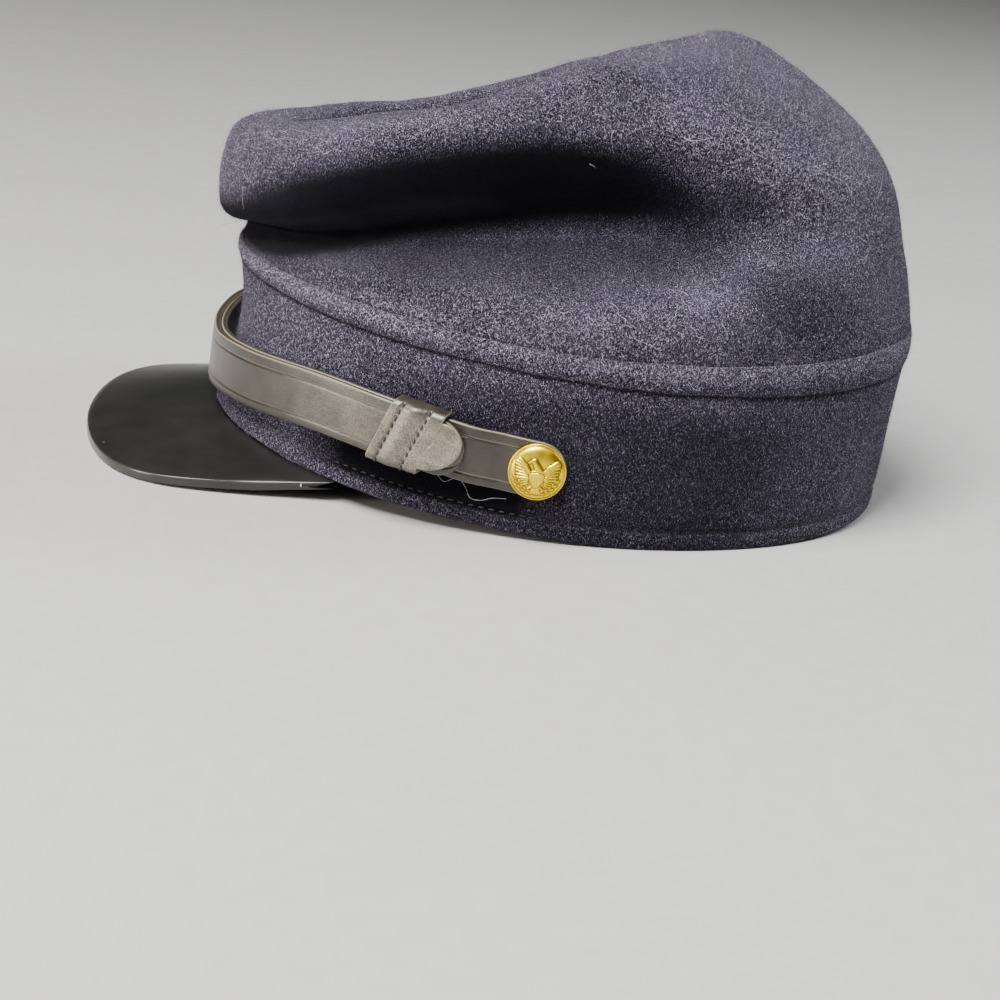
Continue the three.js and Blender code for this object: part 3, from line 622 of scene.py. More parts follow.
# its lower edge is caught behind the welt, so that the two meet in a soft valley
keys = [off_band(crown_around, welt_top - 1.0, -0.5 + 0 * crown_around),
    off_band(crown_around, welt_top + 1.0, -0.45 + 0 * crown_around)]
for fold in ("lip", "crease", "under", "roll", "shoulder"):
    out = from_table(crown_folds["angle"], [pair[0] for pair in crown_folds[fold]], from_front)
    up = from_table(crown_folds["angle"], [pair[1] for pair in crown_folds[fold]], from_front)[:, None]
    out = np.where(out < 0, out * (1 - (1 - far_folds) * far_side), out)
    keys.append(foot + (rim - foot) * up + away * (out * loose_cloth)[:, None])
keys += [rim, crown_rim(crown_around, rim_turn * 0.65, rim_drop * 0.3), crown_rim(crown_around, rim_turn, rim_drop)]
crown_grid = through_points(np.stack(keys, 1), [2, 6, 9, 9, 9, 9, 8, 4, 4])
crown_soft = uneven(uneven(crown_grid, 26, 1.1, 5.0), 9, 0.35, 6.0)
hold = np.clip(np.arange(crown_grid.shape[1]) / 6, 0, 1) * np.clip(np.arange(crown_grid.shape[1])[::-1] / 6, 0, 1)
crown_grid = crown_grid + (crown_soft - crown_grid) * hold[None, :, None]
along = np.roll(crown_grid, -1, 0) - np.roll(crown_grid, 1, 0)
up = np.gradient(crown_grid, axis=1)
normal = np.cross(along, up)
normal[:, 0, 2] = 0
normal /= np.linalg.norm(normal, axis=-1, keepdims=True)
inner_grid = crown_grid - normal * crown_wall
# the dark of the deep fold is painted shade and its pale lip a painted highlight: these amounts were set to look right
lying = np.arange(crown_grid.shape[1])
fold_shade_marks = {"angle": [0, 20, 40, 60, 80, 95, 108, 116, 125, 134, 180],
    "from": [1, 3, 11, 14, 15, 15, 15, 15, 15, 17, 19],
              "to": [29, 31, 36, 36.5, 37, 35, 32, 29, 23, 20, 20],
              "depth": [1, 1, 1, 1, 1, 1, 0.97, 0.85, 0.55, 0.06, 0],
              "lit": [0, 0, 4, 4, 7, 7.5, 9, 11, 14, 16, 18],
              "dusk": [0.4, 0.4, 0.5, 0.74, 0.76, 0.74, 0.66, 0.4, 0.1, 0, 0]}
# each patch, painted shade in a hollow (+) and painted highlight on a ridge (-): its angle and row, its reach in both,
# and how much
fold_shade_patches = [(129, 8.5, 12, 3.2, 0.34), (120, 15.8, 8, 4.2, 0.52), (132, 21, 5, 4, 0.45), (106, 12.5, 6, 1.6, 0.28),
    (112, 9.5, 9, 2.2, -0.36),
                (126, 12.8, 6, 2, -0.42), (88, 5.5, 22, 3, -0.44), (60, 3.2, 14, 1.8, -0.44), (146, 25, 15, 10, -0.28),
                (137, 33, 7, 5, -0.3),
                (122, 36, 12, 2.6, -0.28), (128, 32, 5, 3, -0.3), (66, 44.5, 34, 3.2, -0.2)]
fold_from, fold_to, fold_depth, lit_to, dusk = (np.interp(from_front, fold_shade_marks["angle"], fold_shade_marks[key])[:, None]
                                                for key in ("from", "to", "depth", "lit", "dusk"))
crown_painted_shade = fold_depth * np.clip((lying - fold_from + 3) / 6, 0, 1) * np.clip((fold_to + 5 - lying) / 8, 0, 1)
crown_painted_shade = crown_painted_shade * crown_painted_shade * (3 - 2 * crown_painted_shade)
crown_painted_shade = np.maximum(crown_painted_shade, dusk * np.clip((lying - lit_to) / (fold_from - lit_to), 0, 1) * (lying < fold_from))
for at_angle, at_row, wide, tall_reach, much in fold_shade_patches:
    crown_painted_shade = crown_painted_shade + (1 - np.clip(crown_painted_shade, 0, 1)) * much * np.exp(-((from_front[:, None] - at_angle) / wide) ** 2
        - ((lying - at_row) / tall_reach) ** 2)
# painted shade in the crease just above the welt
crown_painted_shade = np.maximum(crown_painted_shade, np.clip(1 - (crown_grid[..., 2] - welt_top[:, None]) / 0.5, -1, 0.3))
crown = skin("crown_side_cloth", np.concatenate([crown_grid, inner_grid[:, ::-1]], 1),
             marks={"painted_shade": np.concatenate([crown_painted_shade, 0 * crown_painted_shade + inside_painted_shade], 1)}, look=wool)
wear(crown, "wool", "crown_side")
nap_on("crown_side_nap", crown_grid, [1.15e6, 1.15e6], 4.5e5, 7, {"painted_shade": crown_painted_shade})

# Crown top
# A round of the same wool, sewn into the crown's turned-over rim. Nothing holds it up, so its middle
# sinks below the rim and only a strip of its far side shows from the front.
dish_depth = 8.0
dish_rows = np.linspace(1, 0, 26)[:-1]


def dish_ring(share, lower):
    edge = crown_rim(crown_around, rim_turn + clearance, rim_drop)
    middle = np.array([0, top_centre_y, top_centre_z - rim_drop])
    ring = middle + (edge - middle) * share
    ring[:, 2] -= dish_depth * (1 - share ** 3) + lower
    return ring


top_rings = [dish_ring(s, 0) for s in dish_rows] + [dish_ring(0.004, 0)]
under_rings = [dish_ring(s, crown_wall) for s in [0.004, *dish_rows[::-1]]]
top_grid = np.stack(top_rings, 1)
top_soft = uneven(top_grid, 20, 0.8, 9.0)
hold = np.clip(np.arange(top_grid.shape[1]) / 4, 0, 1) * np.clip(dish_rows.tolist() + [0.0], 0, 0.2) * 5
top_grid = top_grid + (top_soft - top_grid) * hold[None, :, None]
top = skin("crown_top_cloth", np.concatenate([top_grid, np.stack(under_rings, 1)], 1), look=wool)
wear(top, "wool", "crown_top")
nap_on("crown_top_nap", top_grid, [1.8e6], 3.0e5, 9)

# Peak
# Stiff black leather, cut as a crescent and sewn under the front of the hem. Its edge is rubbed to a
# narrow bevel that catches the light, and a little dust and lint has settled on it.
peak_depth, peak_corner, peak_thickness, peak_crown = 36.9, math.radians(49.1), 2.4, 1.2
square_side, square_reach, square_drop = 1.085, 0.304, 0.165

grain = bpy.data.node_groups.new("leather_grain", "ShaderNodeTree")
taken, given = named_sockets(grain, [
    ("Position", "Vector", None), ("Pebbles per metre", "Float", 1600.0), ("Scuffs per metre", "Float", 90.0)],
    [("Height", "Float"), ("Scuff", "Float")])
pebble = node(grain, "ShaderNodeTexVoronoi", {"Vector": taken["Position"], "Scale": taken["Pebbles per metre"]},
              feature="SMOOTH_F1")
pore = cloudy(grain, taken["Position"], taken["Pebbles per metre"], 4, 0.7)
surface = maths(grain, "MULTIPLY_ADD", pebble.outputs["Distance"], 0.5, pore.outputs["Fac"])
link(grain, surface, given["Height"])
scuffs = cloudy(grain, taken["Position"], taken["Scuffs per metre"], 6, 0.65)
link(grain, node(grain, "ShaderNodeMapRange", {"Value": scuffs.outputs["Fac"], "From Min": 0.4, "From Max": 0.7}),
                given["Scuff"])

dust = bpy.data.node_groups.new("settled_dust", "ShaderNodeTree")
taken, given = named_sockets(dust, [
    ("Position", "Vector", None), ("Specks per metre", "Float", 260.0), ("Speck size", "Float", 0.09),
    ("Share", "Float", 0.6)], [("Speck", "Float")])
speck = node(dust, "ShaderNodeTexVoronoi", {"Vector": taken["Position"], "Scale": taken["Specks per metre"]})
chosen = node(dust, "ShaderNodeSeparateColor", {0: speck.outputs["Color"]})
kept = maths(dust, "GREATER_THAN", chosen, taken["Share"])
own_size = maths(dust, "MULTIPLY", chosen.outputs[1], taken["Speck size"])
seen = maths(dust, "LESS_THAN", speck.outputs["Distance"], own_size)
strewn = cloudy(dust, taken["Position"], 40, 2)
strewn = maths(dust, "GREATER_THAN", strewn.outputs["Fac"], 0.5)
seen = maths(dust, "MULTIPLY", seen, kept)
seen = maths(dust, "MULTIPLY", seen, strewn)
link(dust, seen, given["Speck"])

peak_finish, peak_shader, peak_nodes = finish("peak_leather", (0.014, 0.0135, 0.012), 0.3, Specular_IOR_Level=0.55,
                                              Coat_Weight=0.25, Coat_Roughness=0.22)
here = object_place(peak_nodes)
hide = node(peak_nodes, "ShaderNodeGroup", {"Position": here, "Pebbles per metre": 2200.0, "Scuffs per metre": 60.0},
    node_tree=grain)
specks = node(peak_nodes, "ShaderNodeGroup", {"Position": here, "Specks per metre": 170.0, "Speck size": 0.07,
                                              "Share": 0.6}, node_tree=dust)
edge = mark_on(peak_nodes, "edge")
leather = mixed(peak_nodes, hide.outputs["Scuff"], (0.010, 0.0098, 0.0088, 1), (0.015, 0.0145, 0.0125, 1))
# the marked edge is painted paler: partly the worn edge, partly a painted highlight along the bevel
painted_sheen = mixed(peak_nodes, edge, leather, (0.042, 0.037, 0.028, 1))
dusty = mixed(peak_nodes, specks, painted_sheen, (0.5, 0.48, 0.42, 1))
link(peak_nodes, dusty, peak_shader.inputs["Base Color"])
gloss = node(peak_nodes, "ShaderNodeMapRange", {"Value": hide.outputs["Scuff"], "To Min": 0.29, "To Max": 0.32})
gloss = maths(peak_nodes, "MULTIPLY_ADD", specks, 0.5, gloss, use_clamp=True)
link(peak_nodes, gloss, peak_shader.inputs["Roughness"])
link(peak_nodes, node(peak_nodes, "ShaderNodeBump", {
    "Height": hide.outputs["Height"], "Strength": 0.1, "Distance": 0.00006}), peak_shader.inputs["Normal"])

across_peak = np.sin((np.linspace(0, 1, 141) - 0.5) * math.pi) * 0.9993
peak_angle = across_peak * peak_corner
corner = off_band(np.array([peak_corner]), hem_z(np.array([peak_corner])) - clearance, 0)[0]
reach = np.abs(np.cos(across_peak * math.pi / 2))
tip_y = -(head_length / 2 + peak_depth)
rim_line = np.stack([corner[0] * signed_power(np.sin(across_peak * math.pi / 2), square_side),
                     corner[1] + (tip_y - corner[1]) * reach ** square_reach,
                     corner[2] + (peak_thickness - corner[2]) * reach ** square_drop], -1)
hem_under = hem_z(peak_angle) - clearance
hem_edge = off_band(peak_angle, hem_under, 0 * peak_angle)
inward = hem_edge - rim_line
room_inward = np.linalg.norm(inward, axis=-1, keepdims=True)
inward = inward / room_inward
inset = np.minimum(0.5, 0.25 * room_inward)


def bow(row):
    return np.array([0, 0, 1]) * (peak_crown * 4 * row * (1 - row) * np.cos(across_peak * math.pi / 2))[:, None]


peak_rows, peak_marks = [off_band(peak_angle, hem_under, -band_wall - hem_turn / 2 + 0 * peak_angle)], [0]
for row in np.linspace(0, 0.985, 28):
    peak_rows.append(hem_edge + (rim_line - hem_edge) * row + bow(row))
    peak_marks.append(0)
# the rows that turn over the edge take the paler colour, strongest half way round: worn edge and painted highlight
for turn in (0, 22, 45, 68, 90):
    c, s = cos_and_sin(turn)
    peak_rows.append(rim_line + inward * inset * (1 - s) - np.array([0, 0, 0.5]) * (1 - c))
    peak_marks.append((0, 0.2, 1, 0.5, 0)[(0, 22, 45, 68, 90).index(turn)])
for drop in (0.9, 1.4, 1.9):
    peak_rows.append(rim_line - np.array([0, 0, drop]))
    peak_marks.append(0)
for turn in (30, 60, 90):
    c, s = cos_and_sin(turn)
    peak_rows.append(rim_line + inward * inset * 0.8 * (1 - c) - np.array([0, 0, peak_thickness - 0.4 * (1 - s)]))
    peak_marks.append(0)
for row in np.linspace(0.97, 0, 10):
    peak_rows.append(hem_edge + (rim_line - hem_edge) * row + bow(row) - np.array([0, 0, peak_thickness]))
    peak_marks.append(0)
peak_rows.append(peak_rows[0] - np.array([0, 0, peak_thickness]))
peak_marks.append(0)
# each end is pared thin where it runs in under the hem
peak_grid = np.stack(peak_rows, 1)
pared = np.clip((1 - np.abs(across_peak)) / 0.012, 0.12, 1) ** 0.5
peak_grid[:, 29:] = peak_grid[:, 28:29] + (peak_grid[:, 29:] - peak_grid[:, 28:29]) * pared[:, None, None]
peak = skin("peak_leather", peak_grid, around=False, marks={"edge": np.tile(peak_marks, (len(across_peak), 1))},
            look=peak_finish)
wear(peak, "peak_leather", "peak")

# Chin strap
# Two straps of black bridle leather, one over the other, each buttoned at one side. The edges are
# left as cut and show brown, and a creasing iron has run a line along each side of the face.
strap_width, strap_thickness, blunt_end = 16.0, 1.9, 0.15
strap_end_angle, button_angle, button_diameter = math.radians(71.4), math.radians(82.5), 16.0
keeper_wall = 1.4
inner_seat = 2 * clearance + keeper_wall
outer_seat = inner_seat + strap_thickness + clearance
strap_route = {"angle": [0, 25, 45, 61, 75, 90], "rise": [0.32, 0.40, 0.49, 0.485, 0.45, 0.435],
               "tuck": [0.64, 0.45, 0.12, 0.0, 0.0, 0.0]}


def strap_middle(angle):
    rise = from_table(strap_route["angle"], strap_route["rise"], np.minimum(np.degrees(np.abs(angle)), 90))
    return hem_z(angle) + (seam_z(angle) - hem_z(angle)) * rise


def strap_off(angle, seat):
    return seat - front_tuck * from_table(strap_route["angle"], strap_route["tuck"],
        np.minimum(np.degrees(np.abs(angle)), 90))


def off_straight_band(angle, height, out):
    return on_oval(angle, height, band_flare * band_share(angle, height) + out)


def settle(angle):
    before_button = button_angle - (button_diameter / 2 + 1) / (head_length / 2)
    share = np.clip((np.abs(angle) - strap_end_angle) / (before_button - strap_end_angle), 0, 1)
    return share * share * (3 - 2 * share)


def rounded_end(from_end):
    share = 1 - np.clip(from_end, 0, strap_width / 2) / (strap_width / 2)
    return np.maximum(np.sqrt(1 - share ** 2), blunt_end)


strap_finish, strap_shader, strap_nodes = finish("bridle_leather", (0.03, 0.027, 0.023), 0.45, Specular_IOR_Level=0.6,
                                                 Coat_Weight=0.3, Coat_Roughness=0.24)
here = object_place(strap_nodes)
hide = node(strap_nodes, "ShaderNodeGroup", {"Position": here, "Pebbles per metre": 2600.0, "Scuffs per metre": 110.0},
    node_tree=grain)
specks = node(strap_nodes, "ShaderNodeGroup", {"Position": here, "Specks per metre": 420.0, "Speck size": 0.07,
                                               "Share": 0.75}, node_tree=dust)
edge = mark_on(strap_nodes, "edge")
leather = mixed(strap_nodes, hide.outputs["Scuff"], (0.012, 0.0086, 0.005, 1), (0.028, 0.0215, 0.0135, 1))
# the grain's tips are painted grey-brown, most of all round the keeper: a painted sheen that stands for the leather's
# highlight
painted_sheen = mark_on(strap_nodes, "painted_sheen")
tips = cloudy(strap_nodes, here, 3200, 3, 0.6)
tips = node(strap_nodes, "ShaderNodeMapRange",
    {"Value": tips.outputs["Fac"], "From Min": 0.36, "From Max": 0.66, "To Min": 0.12})
streak_way = node(strap_nodes, "ShaderNodeMapping", {"Vector": node(strap_nodes, "ShaderNodeUVMap", uv_map="cut"),
                                                     "Scale": (0.2, 1.0, 1.0)})
streaks = cloudy(strap_nodes, streak_way, 1500, 4, 0.7)
streaks = node(strap_nodes, "ShaderNodeMapRange",
    {"Value": streaks.outputs["Fac"], "From Min": 0.36, "From Max": 0.64, "To Min": 0.7,
                                                   "To Max": 1.15})
clouds = node(strap_nodes, "ShaderNodeMapRange", {"Value": hide.outputs["Scuff"], "To Min": 0.6, "To Max": 1.35})
streaks = maths(strap_nodes, "MULTIPLY", streaks, clouds)
tips = maths(strap_nodes, "MULTIPLY", tips, streaks)
tips = maths(strap_nodes, "MULTIPLY", tips, painted_sheen, use_clamp=True)
leather = mixed(strap_nodes, tips, leather, (0.25, 0.213, 0.162, 1))
# the cut edge's brown, which also paints the highlights on the edge's corners and beside the crease lines
cut = mixed(strap_nodes, edge, leather, (0.27, 0.225, 0.16, 1))
dusty = mixed(strap_nodes, specks, cut, (0.5, 0.46, 0.4, 1))
link(strap_nodes, dusty, strap_shader.inputs["Base Color"])
gloss = node(strap_nodes, "ShaderNodeMapRange", {"Value": hide.outputs["Scuff"], "To Min": 0.30, "To Max": 0.42})
gloss = maths(strap_nodes, "MULTIPLY_ADD", edge, 0.3, gloss, use_clamp=True)
link(strap_nodes, gloss, strap_shader.inputs["Roughness"])
link(strap_nodes, node(strap_nodes, "ShaderNodeBump", {
    "Height": hide.outputs["Height"], "Strength": 0.6, "Distance": 0.00012}), strap_shader.inputs["Normal"])

# Across the strap: how far up its width, how far through it, and how much of the cut edge's colour it takes, which also
# paints highlights on the edge's corners and beside each crease line
strap_section = [(-0.985, 0.05, 0.1), (-1.0, 0.3, 0.1), (-1.0, 0.7, 0.1), (-0.99, 0.88, 0.2), (-0.97, 0.97, 0.2),
    (-0.93, 1.0, 0)]
for line in (-0.70, 0.60):
    strap_section += [(line - 0.075, 1.0, 0), (line - 0.035, 0.985, 0), (line - 0.012, 0.90, 0),
        (line + 0.012, 0.90, 0),
                      (line + 0.04, 1.0, 0.45), (line + 0.08, 1.0, 0)]
    if line < 0:
        strap_section += [(-0.4, 1.015, 0), (-0.15, 1.02, 0), (0.1, 1.02, 0), (0.35, 1.015, 0)]
strap_section += [(0.93, 1.0, 0), (0.97, 0.97, 0.4), (0.99, 0.88, 1), (1.0, 0.7, 0.08), (1.0, 0.3, 0.08),
    (0.985, 0.05, 0.4),
                  (0.8, 0.0, 0.3), (0.0, 0.0, 0.3), (-0.8, 0.0, 0.3)]


# how strong the painted sheen is on the face, a painted highlight: by the angle from the front, and by the place across
# it
sheen_along_marks = {"angle": [-75, -56, -48, -40, -28, 0, 40, 56, 64, 72, 90],
                 "amount": [0.66, 0.62, 0.45, 0.16, 0.08, 0.04, 0.14, 0.44, 0.33, 0.11, 0.03]}
sheen_across_marks = {"up": [-1, -0.72, -0.6, 0, 0.5, 0.7, 0.9, 1], "amount": [0.05, 0.16, 0.8, 1, 0.85, 0.4, 0.5, 0]}
inner_sheen_share, strap_columns, strap_wave, waves_per_radian = 0.5, 320, 0.3, 5.5


def cut_strap(name, seat, side):
    end_angle = button_angle + (strap_width / 2) / (head_length / 2)
    length = head_length / 2 * (end_angle + strap_end_angle)
    share = np.linspace(0, 1, strap_columns)
    eased = share - 0.12 * np.sin(2 * math.pi * share)
    angle = side * (-strap_end_angle + (end_angle + strap_end_angle) * eased)
    off = strap_off(angle, seat)
    off = np.where(side * angle > 0, off + (clearance - off) * settle(angle), off)
    half = strap_width / 2 * np.minimum(rounded_end(length * eased), rounded_end(length * (1 - eased)))
    middle = strap_middle(angle)
    wave = np.array([noise.noise(Vector((a * waves_per_radian, seat, 0.4))) for a in angle])
    wave = wave * strap_wave * (1 - settle(angle)) * np.sin(math.pi * share)
    rows = [off_straight_band(angle, middle + half * v, off + strap_thickness * t + wave) for v, t, _ in strap_section]
    grid = np.stack(rows, 1)
    sheen_along = np.interp(side * np.degrees(angle), sheen_along_marks["angle"], sheen_along_marks["amount"])
    if side > 0:
        sheen_along = sheen_along * inner_sheen_share
    sheen_across = np.interp([up if through > 0.5 else 1 for up, through, _ in strap_section],
                            sheen_across_marks["up"], sheen_across_marks["amount"])
    cut = np.stack([np.tile(length * eased[:, None], len(strap_section)),
                    half[:, None] * [up for up, _, _ in strap_section]], -1) / 1000
    edge_marks = np.tile([mark for _, _, mark in strap_section], (len(share), 1))
    return skin(name, grid, around=False, uv=cut, look=strap_finish,
                marks={"edge": edge_marks, "painted_sheen": sheen_along[:, None] * sheen_across})


wear(cut_strap("chin_strap_inner", inner_seat, 1), "strap_leather", "strap_inner")
wear(cut_strap("chin_strap_outer", outer_seat, -1), "strap_leather", "strap_outer")

# Keepers
# A loop of the same leather, folded round both straps and sewn to the end of the strap that carries
# it with two rows of black thread. The rounded end of the strap's lining shows past it as a tab.
keeper_angle, keeper_lean, keeper_length, keeper_tab, tab_inset = math.radians(62.2), 0.3, 13.5, 7.4, 0.7
keeper_radius = 0.46 * head_length
loop_inside = strap_width / 2 + clearance
loop_half = loop_inside + keeper_wall
loop_back, loop_front = clearance, outer_seat + strap_thickness + clearance + keeper_wall
stitch_rows = (-4.1, 2.8)
outer_corner, corner_steps, loop_points, edge_round = 2.4, 12, 150, 0.3
keeper_swell, keeper_pinch, pinch_reach = 0.75, 0.5, 0.42
# painted sheen round the loop and across the tab: dark where the loop turns over its top and bottom and pale on its
# face, as painted shade and highlight
loop_sheen_marks = {"up": [-0.97, -0.8, -0.3, 0.45, 0.8, 0.97], "amount": [0.25, 0.8, 1.35, 1.3, 0.7, 0.15]}
tab_sheen_marks = {"up": [-7, -3, 4, 7], "amount": [1.1, 1.5, 1.3, 0.8]}
# across the tab: the share of its outline, how far it stands out, and how much of the cut edge shows
tab_section = [(0.02, 0.06, 0), (0.3, 0.06, 0), (0.6, 0.05, 0), (0.8, 0.03, 0), (0.9, 0.02, 0), (0.945, 0.0, 0),
               (0.975, -0.07, 0.2), (0.992, -0.2, 0.6), (1.0, -0.45, 1), (1.0, -1.0, 1), (0.985, -1.35, 0.7),
               (0.9, -1.4, 0.2), (0.02, -1.4, 0)]


def keeper_point(side, along, height, out):
    angle = side * (keeper_angle + (along + keeper_lean * height) / keeper_radius)
    return off_straight_band(angle, strap_middle(angle) + height, out)


def rounded_box(back, front, half, radius, steps):
    """Points (out, height) round a box with round corners, from its front, upper corner on."""
    points = []
    for centre_out, centre_up, start in [(front - radius, half - radius, 0), (back + radius, half - radius, 90),
                                         (back + radius, -half + radius, 180), (front - radius, -half + radius, 270)]:
        for k in range(steps + 1):
            turn = math.radians(start + 90 * k / steps)
            points.append((centre_out + radius * math.cos(turn), centre_up + radius * math.sin(turn)))
    return points


def resample(points, count):
    line = np.array(points + points[:1])
    far = np.concatenate([[0], np.cumsum(np.linalg.norm(np.diff(line, axis=0), axis=1))])
    at = np.linspace(0, far[-1], count, endpoint=False)
    return np.stack([np.interp(at, far, line[:, k]) for k in range(2)], -1)


def sew_keeper(name, side):
    outer = resample(rounded_box(loop_back, loop_front, loop_half, outer_corner, corner_steps), loop_points)
    centre = np.array([(loop_back + loop_front) / 2, 0])
    inner = resample(rounded_box(loop_back + keeper_wall, loop_front - keeper_wall, loop_inside, 1.0, corner_steps),
                     loop_points)
    pull = (outer - centre) / np.linalg.norm(outer - centre, axis=1, keepdims=True)
    half = keeper_length / 2
    face = np.clip((outer[:, 0] - (loop_front - 3.2)) / 2.6, 0, 1)
    columns, marks = [], []
    for along in np.linspace(-half + edge_round, half - edge_round, 46):
        pinch = sum(math.exp(-((along - row) / pinch_reach) ** 2) for row in stitch_rows)
        across = (along - sum(stitch_rows) / 2) / (stitch_rows[1] - stitch_rows[0])
        swell = keeper_swell * math.cos(math.pi * np.clip(across, -0.5, 0.5)) ** 2
        columns.append((along, outer + np.stack([face * (swell - keeper_pinch * pinch), 0 * face], -1)))
        marks.append(0.0)

    def round_over(turns, way):
        for turn in turns:
            c, s = cos_and_sin(turn)
            columns.append((way * (half - edge_round * (1 - s)), outer - pull * edge_round * (1 - c)))
            marks.append(0.6)

    round_over((30, 60, 90), 1)
    columns.append((half, outer * 0.45 + inner * 0.55))
    marks.append(1.0)
    for along in (half - 0.1, half - 0.6, 0.0, -half + 0.6, -half + 0.1):
        columns.append((along, inner))
        marks.append(0.3)
    columns.append((-half, outer * 0.45 + inner * 0.55))
    marks.append(1.0)
    round_over((90, 60, 30), -1)
    rows = [keeper_point(side, along + 0 * ring[:, 0], ring[:, 1], ring[:, 0]) for along, ring in columns]
    cut = np.stack([np.stack([along + 0 * ring[:, 0] for along, ring in columns], 1),
                    np.stack([ring[:, 1] for _, ring in columns], 1)], -1) / 1000
    painted_sheen = np.stack([np.interp(ring[:, 1] / loop_half, loop_sheen_marks["up"], loop_sheen_marks["amount"])
                       for _, ring in columns], 1)
    loop = skin(name, np.stack(rows, 1), uv=cut, look=strap_finish,
                marks={"edge": np.tile(marks, (loop_points, 1)), "painted_sheen": painted_sheen})
    # the tab: a plate with a round end whose edge is rounded over, seen past the second row
    tab_half, start, reach = strap_width / 2 - tab_inset, half - 4.6, half + keeper_tab
    outline = []
    for k in range(25):
        turn = math.radians(-90 + 180 * k / 24)
        outline.append((reach - tab_half + tab_half * math.cos(turn), tab_half * math.sin(turn)))
    outline = [(start, -tab_half)] + [(start + (outline[0][0] - start) * k / 6, -tab_half)
        for k in range(1, 6)] + outline \
        + [(outline[-1][0] + (start - outline[-1][0]) * k / 6, tab_half) for k in range(1, 6)] + [(start, tab_half)]
    outline = np.array(outline)
    middle = np.array([reach - tab_half - 1.5, 0])
    rings, cut = [], []
    for shrink, depth, _ in tab_section:
        ring = middle + (outline - middle) * shrink
        cut.append(ring / 1000)
        rings.append(keeper_point(side, ring[:, 0], ring[:, 1], loop_front - 0.12 + depth + 0 * ring[:, 0]))
    cut = np.stack(cut, 1)
    tab = skin(name + "_tab", np.stack(rings, 1), uv=cut, look=strap_finish, marks={
        "edge": np.tile([mark for _, _, mark in tab_section], (len(outline), 1)),
        "painted_sheen": np.interp(cut[..., 1] * 1000, tab_sheen_marks["up"], tab_sheen_marks["amount"])})
    return loop, tab


strap_thread, strap_thread_shader, strap_thread_nodes = finish("waxed_black_thread", (0.02, 0.017, 0.014), 0.45)
twist = cloudy(strap_thread_nodes, object_place(strap_thread_nodes), 1500, 2)
link(strap_thread_nodes, ramp(strap_thread_nodes, twist.outputs["Fac"], [
    (0.35, (0.008, 0.007, 0.006)), (0.7, (0.07, 0.06, 0.045))]), strap_thread_shader.inputs["Base Color"])
for side, carried in ((1, "keeper_left"), (-1, "keeper_right")):
    loop, tab = sew_keeper(f"{carried}_loop", side)
    wear(loop, "strap_leather", carried)
    wear(tab, "strap_leather")
    for number, row in enumerate(stitch_rows):
        up = np.linspace(-loop_half + 1.0, loop_half - 1.0, 60)
        bend = np.clip((np.abs(up) - (loop_half - outer_corner)) / outer_corner, 0, 1)
        out = loop_front - 0.10 - outer_corner * (1 - np.sqrt(1 - bend ** 2))
        line = keeper_point(side, row + 0 * up, up, out)
        stitches = stitch_line(f"{carried}_stitches_{number + 1}", line,
            outward(side * (keeper_angle + row / keeper_radius) + 0 * up))
        grow(stitches, stitch_tree, {"Pitch": 0.0021, "Length": 0.0017, "Width": 0.0009, "Slant": 0.45,
            "Material": strap_thread})
        wear(stitches, "thread")

# Loose thread and lint
# A loose end of pale thread curls out from under the strap, and a few white hairs have caught in the
# nap. Each is one fine round strand that lies on the cloth.
strand_finish, strand_shader, strand_nodes = finish("lint_hair", (0.6, 0.58, 0.6), 0.75)
twist = cloudy(strand_nodes, object_place(strand_nodes), 1200, 2)
link(strand_nodes, ramp(strand_nodes, twist.outputs["Fac"], [(0.3, (0.16, 0.15, 0.14)), (0.7, (0.55, 0.53, 0.55))]),
                       strand_shader.inputs["Base Color"])
strand_radius = 0.00005
strand_tree = bpy.data.node_groups.new("strands", "GeometryNodeTree")
taken, given = named_sockets(strand_tree, [
    ("Geometry", "Geometry", None), ("Radius", "Float", 0.00006), ("Material", "Material", None)],
    [("Geometry", "Geometry")])
path = node(strand_tree, "GeometryNodeMeshToCurve", {"Mesh": taken["Geometry"]})
ring = node(strand_tree, "GeometryNodeCurvePrimitiveCircle", {"Resolution": 6, "Radius": taken["Radius"]})
tube = node(strand_tree, "GeometryNodeCurveToMesh", {"Curve": path, "Profile Curve": ring, "Fill Caps": True})
hand_over(strand_tree, tube, taken, given)


def on_crown(angle, row, off):
    """The point of the crown's cloth at an angle in degrees and a row of its grid, moved off it by some mm."""
    i, j = angle / 360 * len(crown_grid), row
    i0, j0 = int(i), int(j)
    found = 0
    for di, share_i in ((0, 1 - (i - i0)), (1, i - i0)):
        for dj, share_j in ((0, 1 - (j - j0)), (1, j - j0)):
            found = found + share_i * share_j * (crown_grid[i0 + di, j0 + dj] + normal[i0 + di, j0 + dj] * off)
    return found


def lay_strand(name, keys):
    line = through_points(np.array(keys)[None], [6] * (len(keys) - 1))[0]
    strand = grow(stitch_line(name, line, 0 * line), strand_tree, {"Radius": strand_radius, "Material": strand_finish})
    wear(strand, "thread")


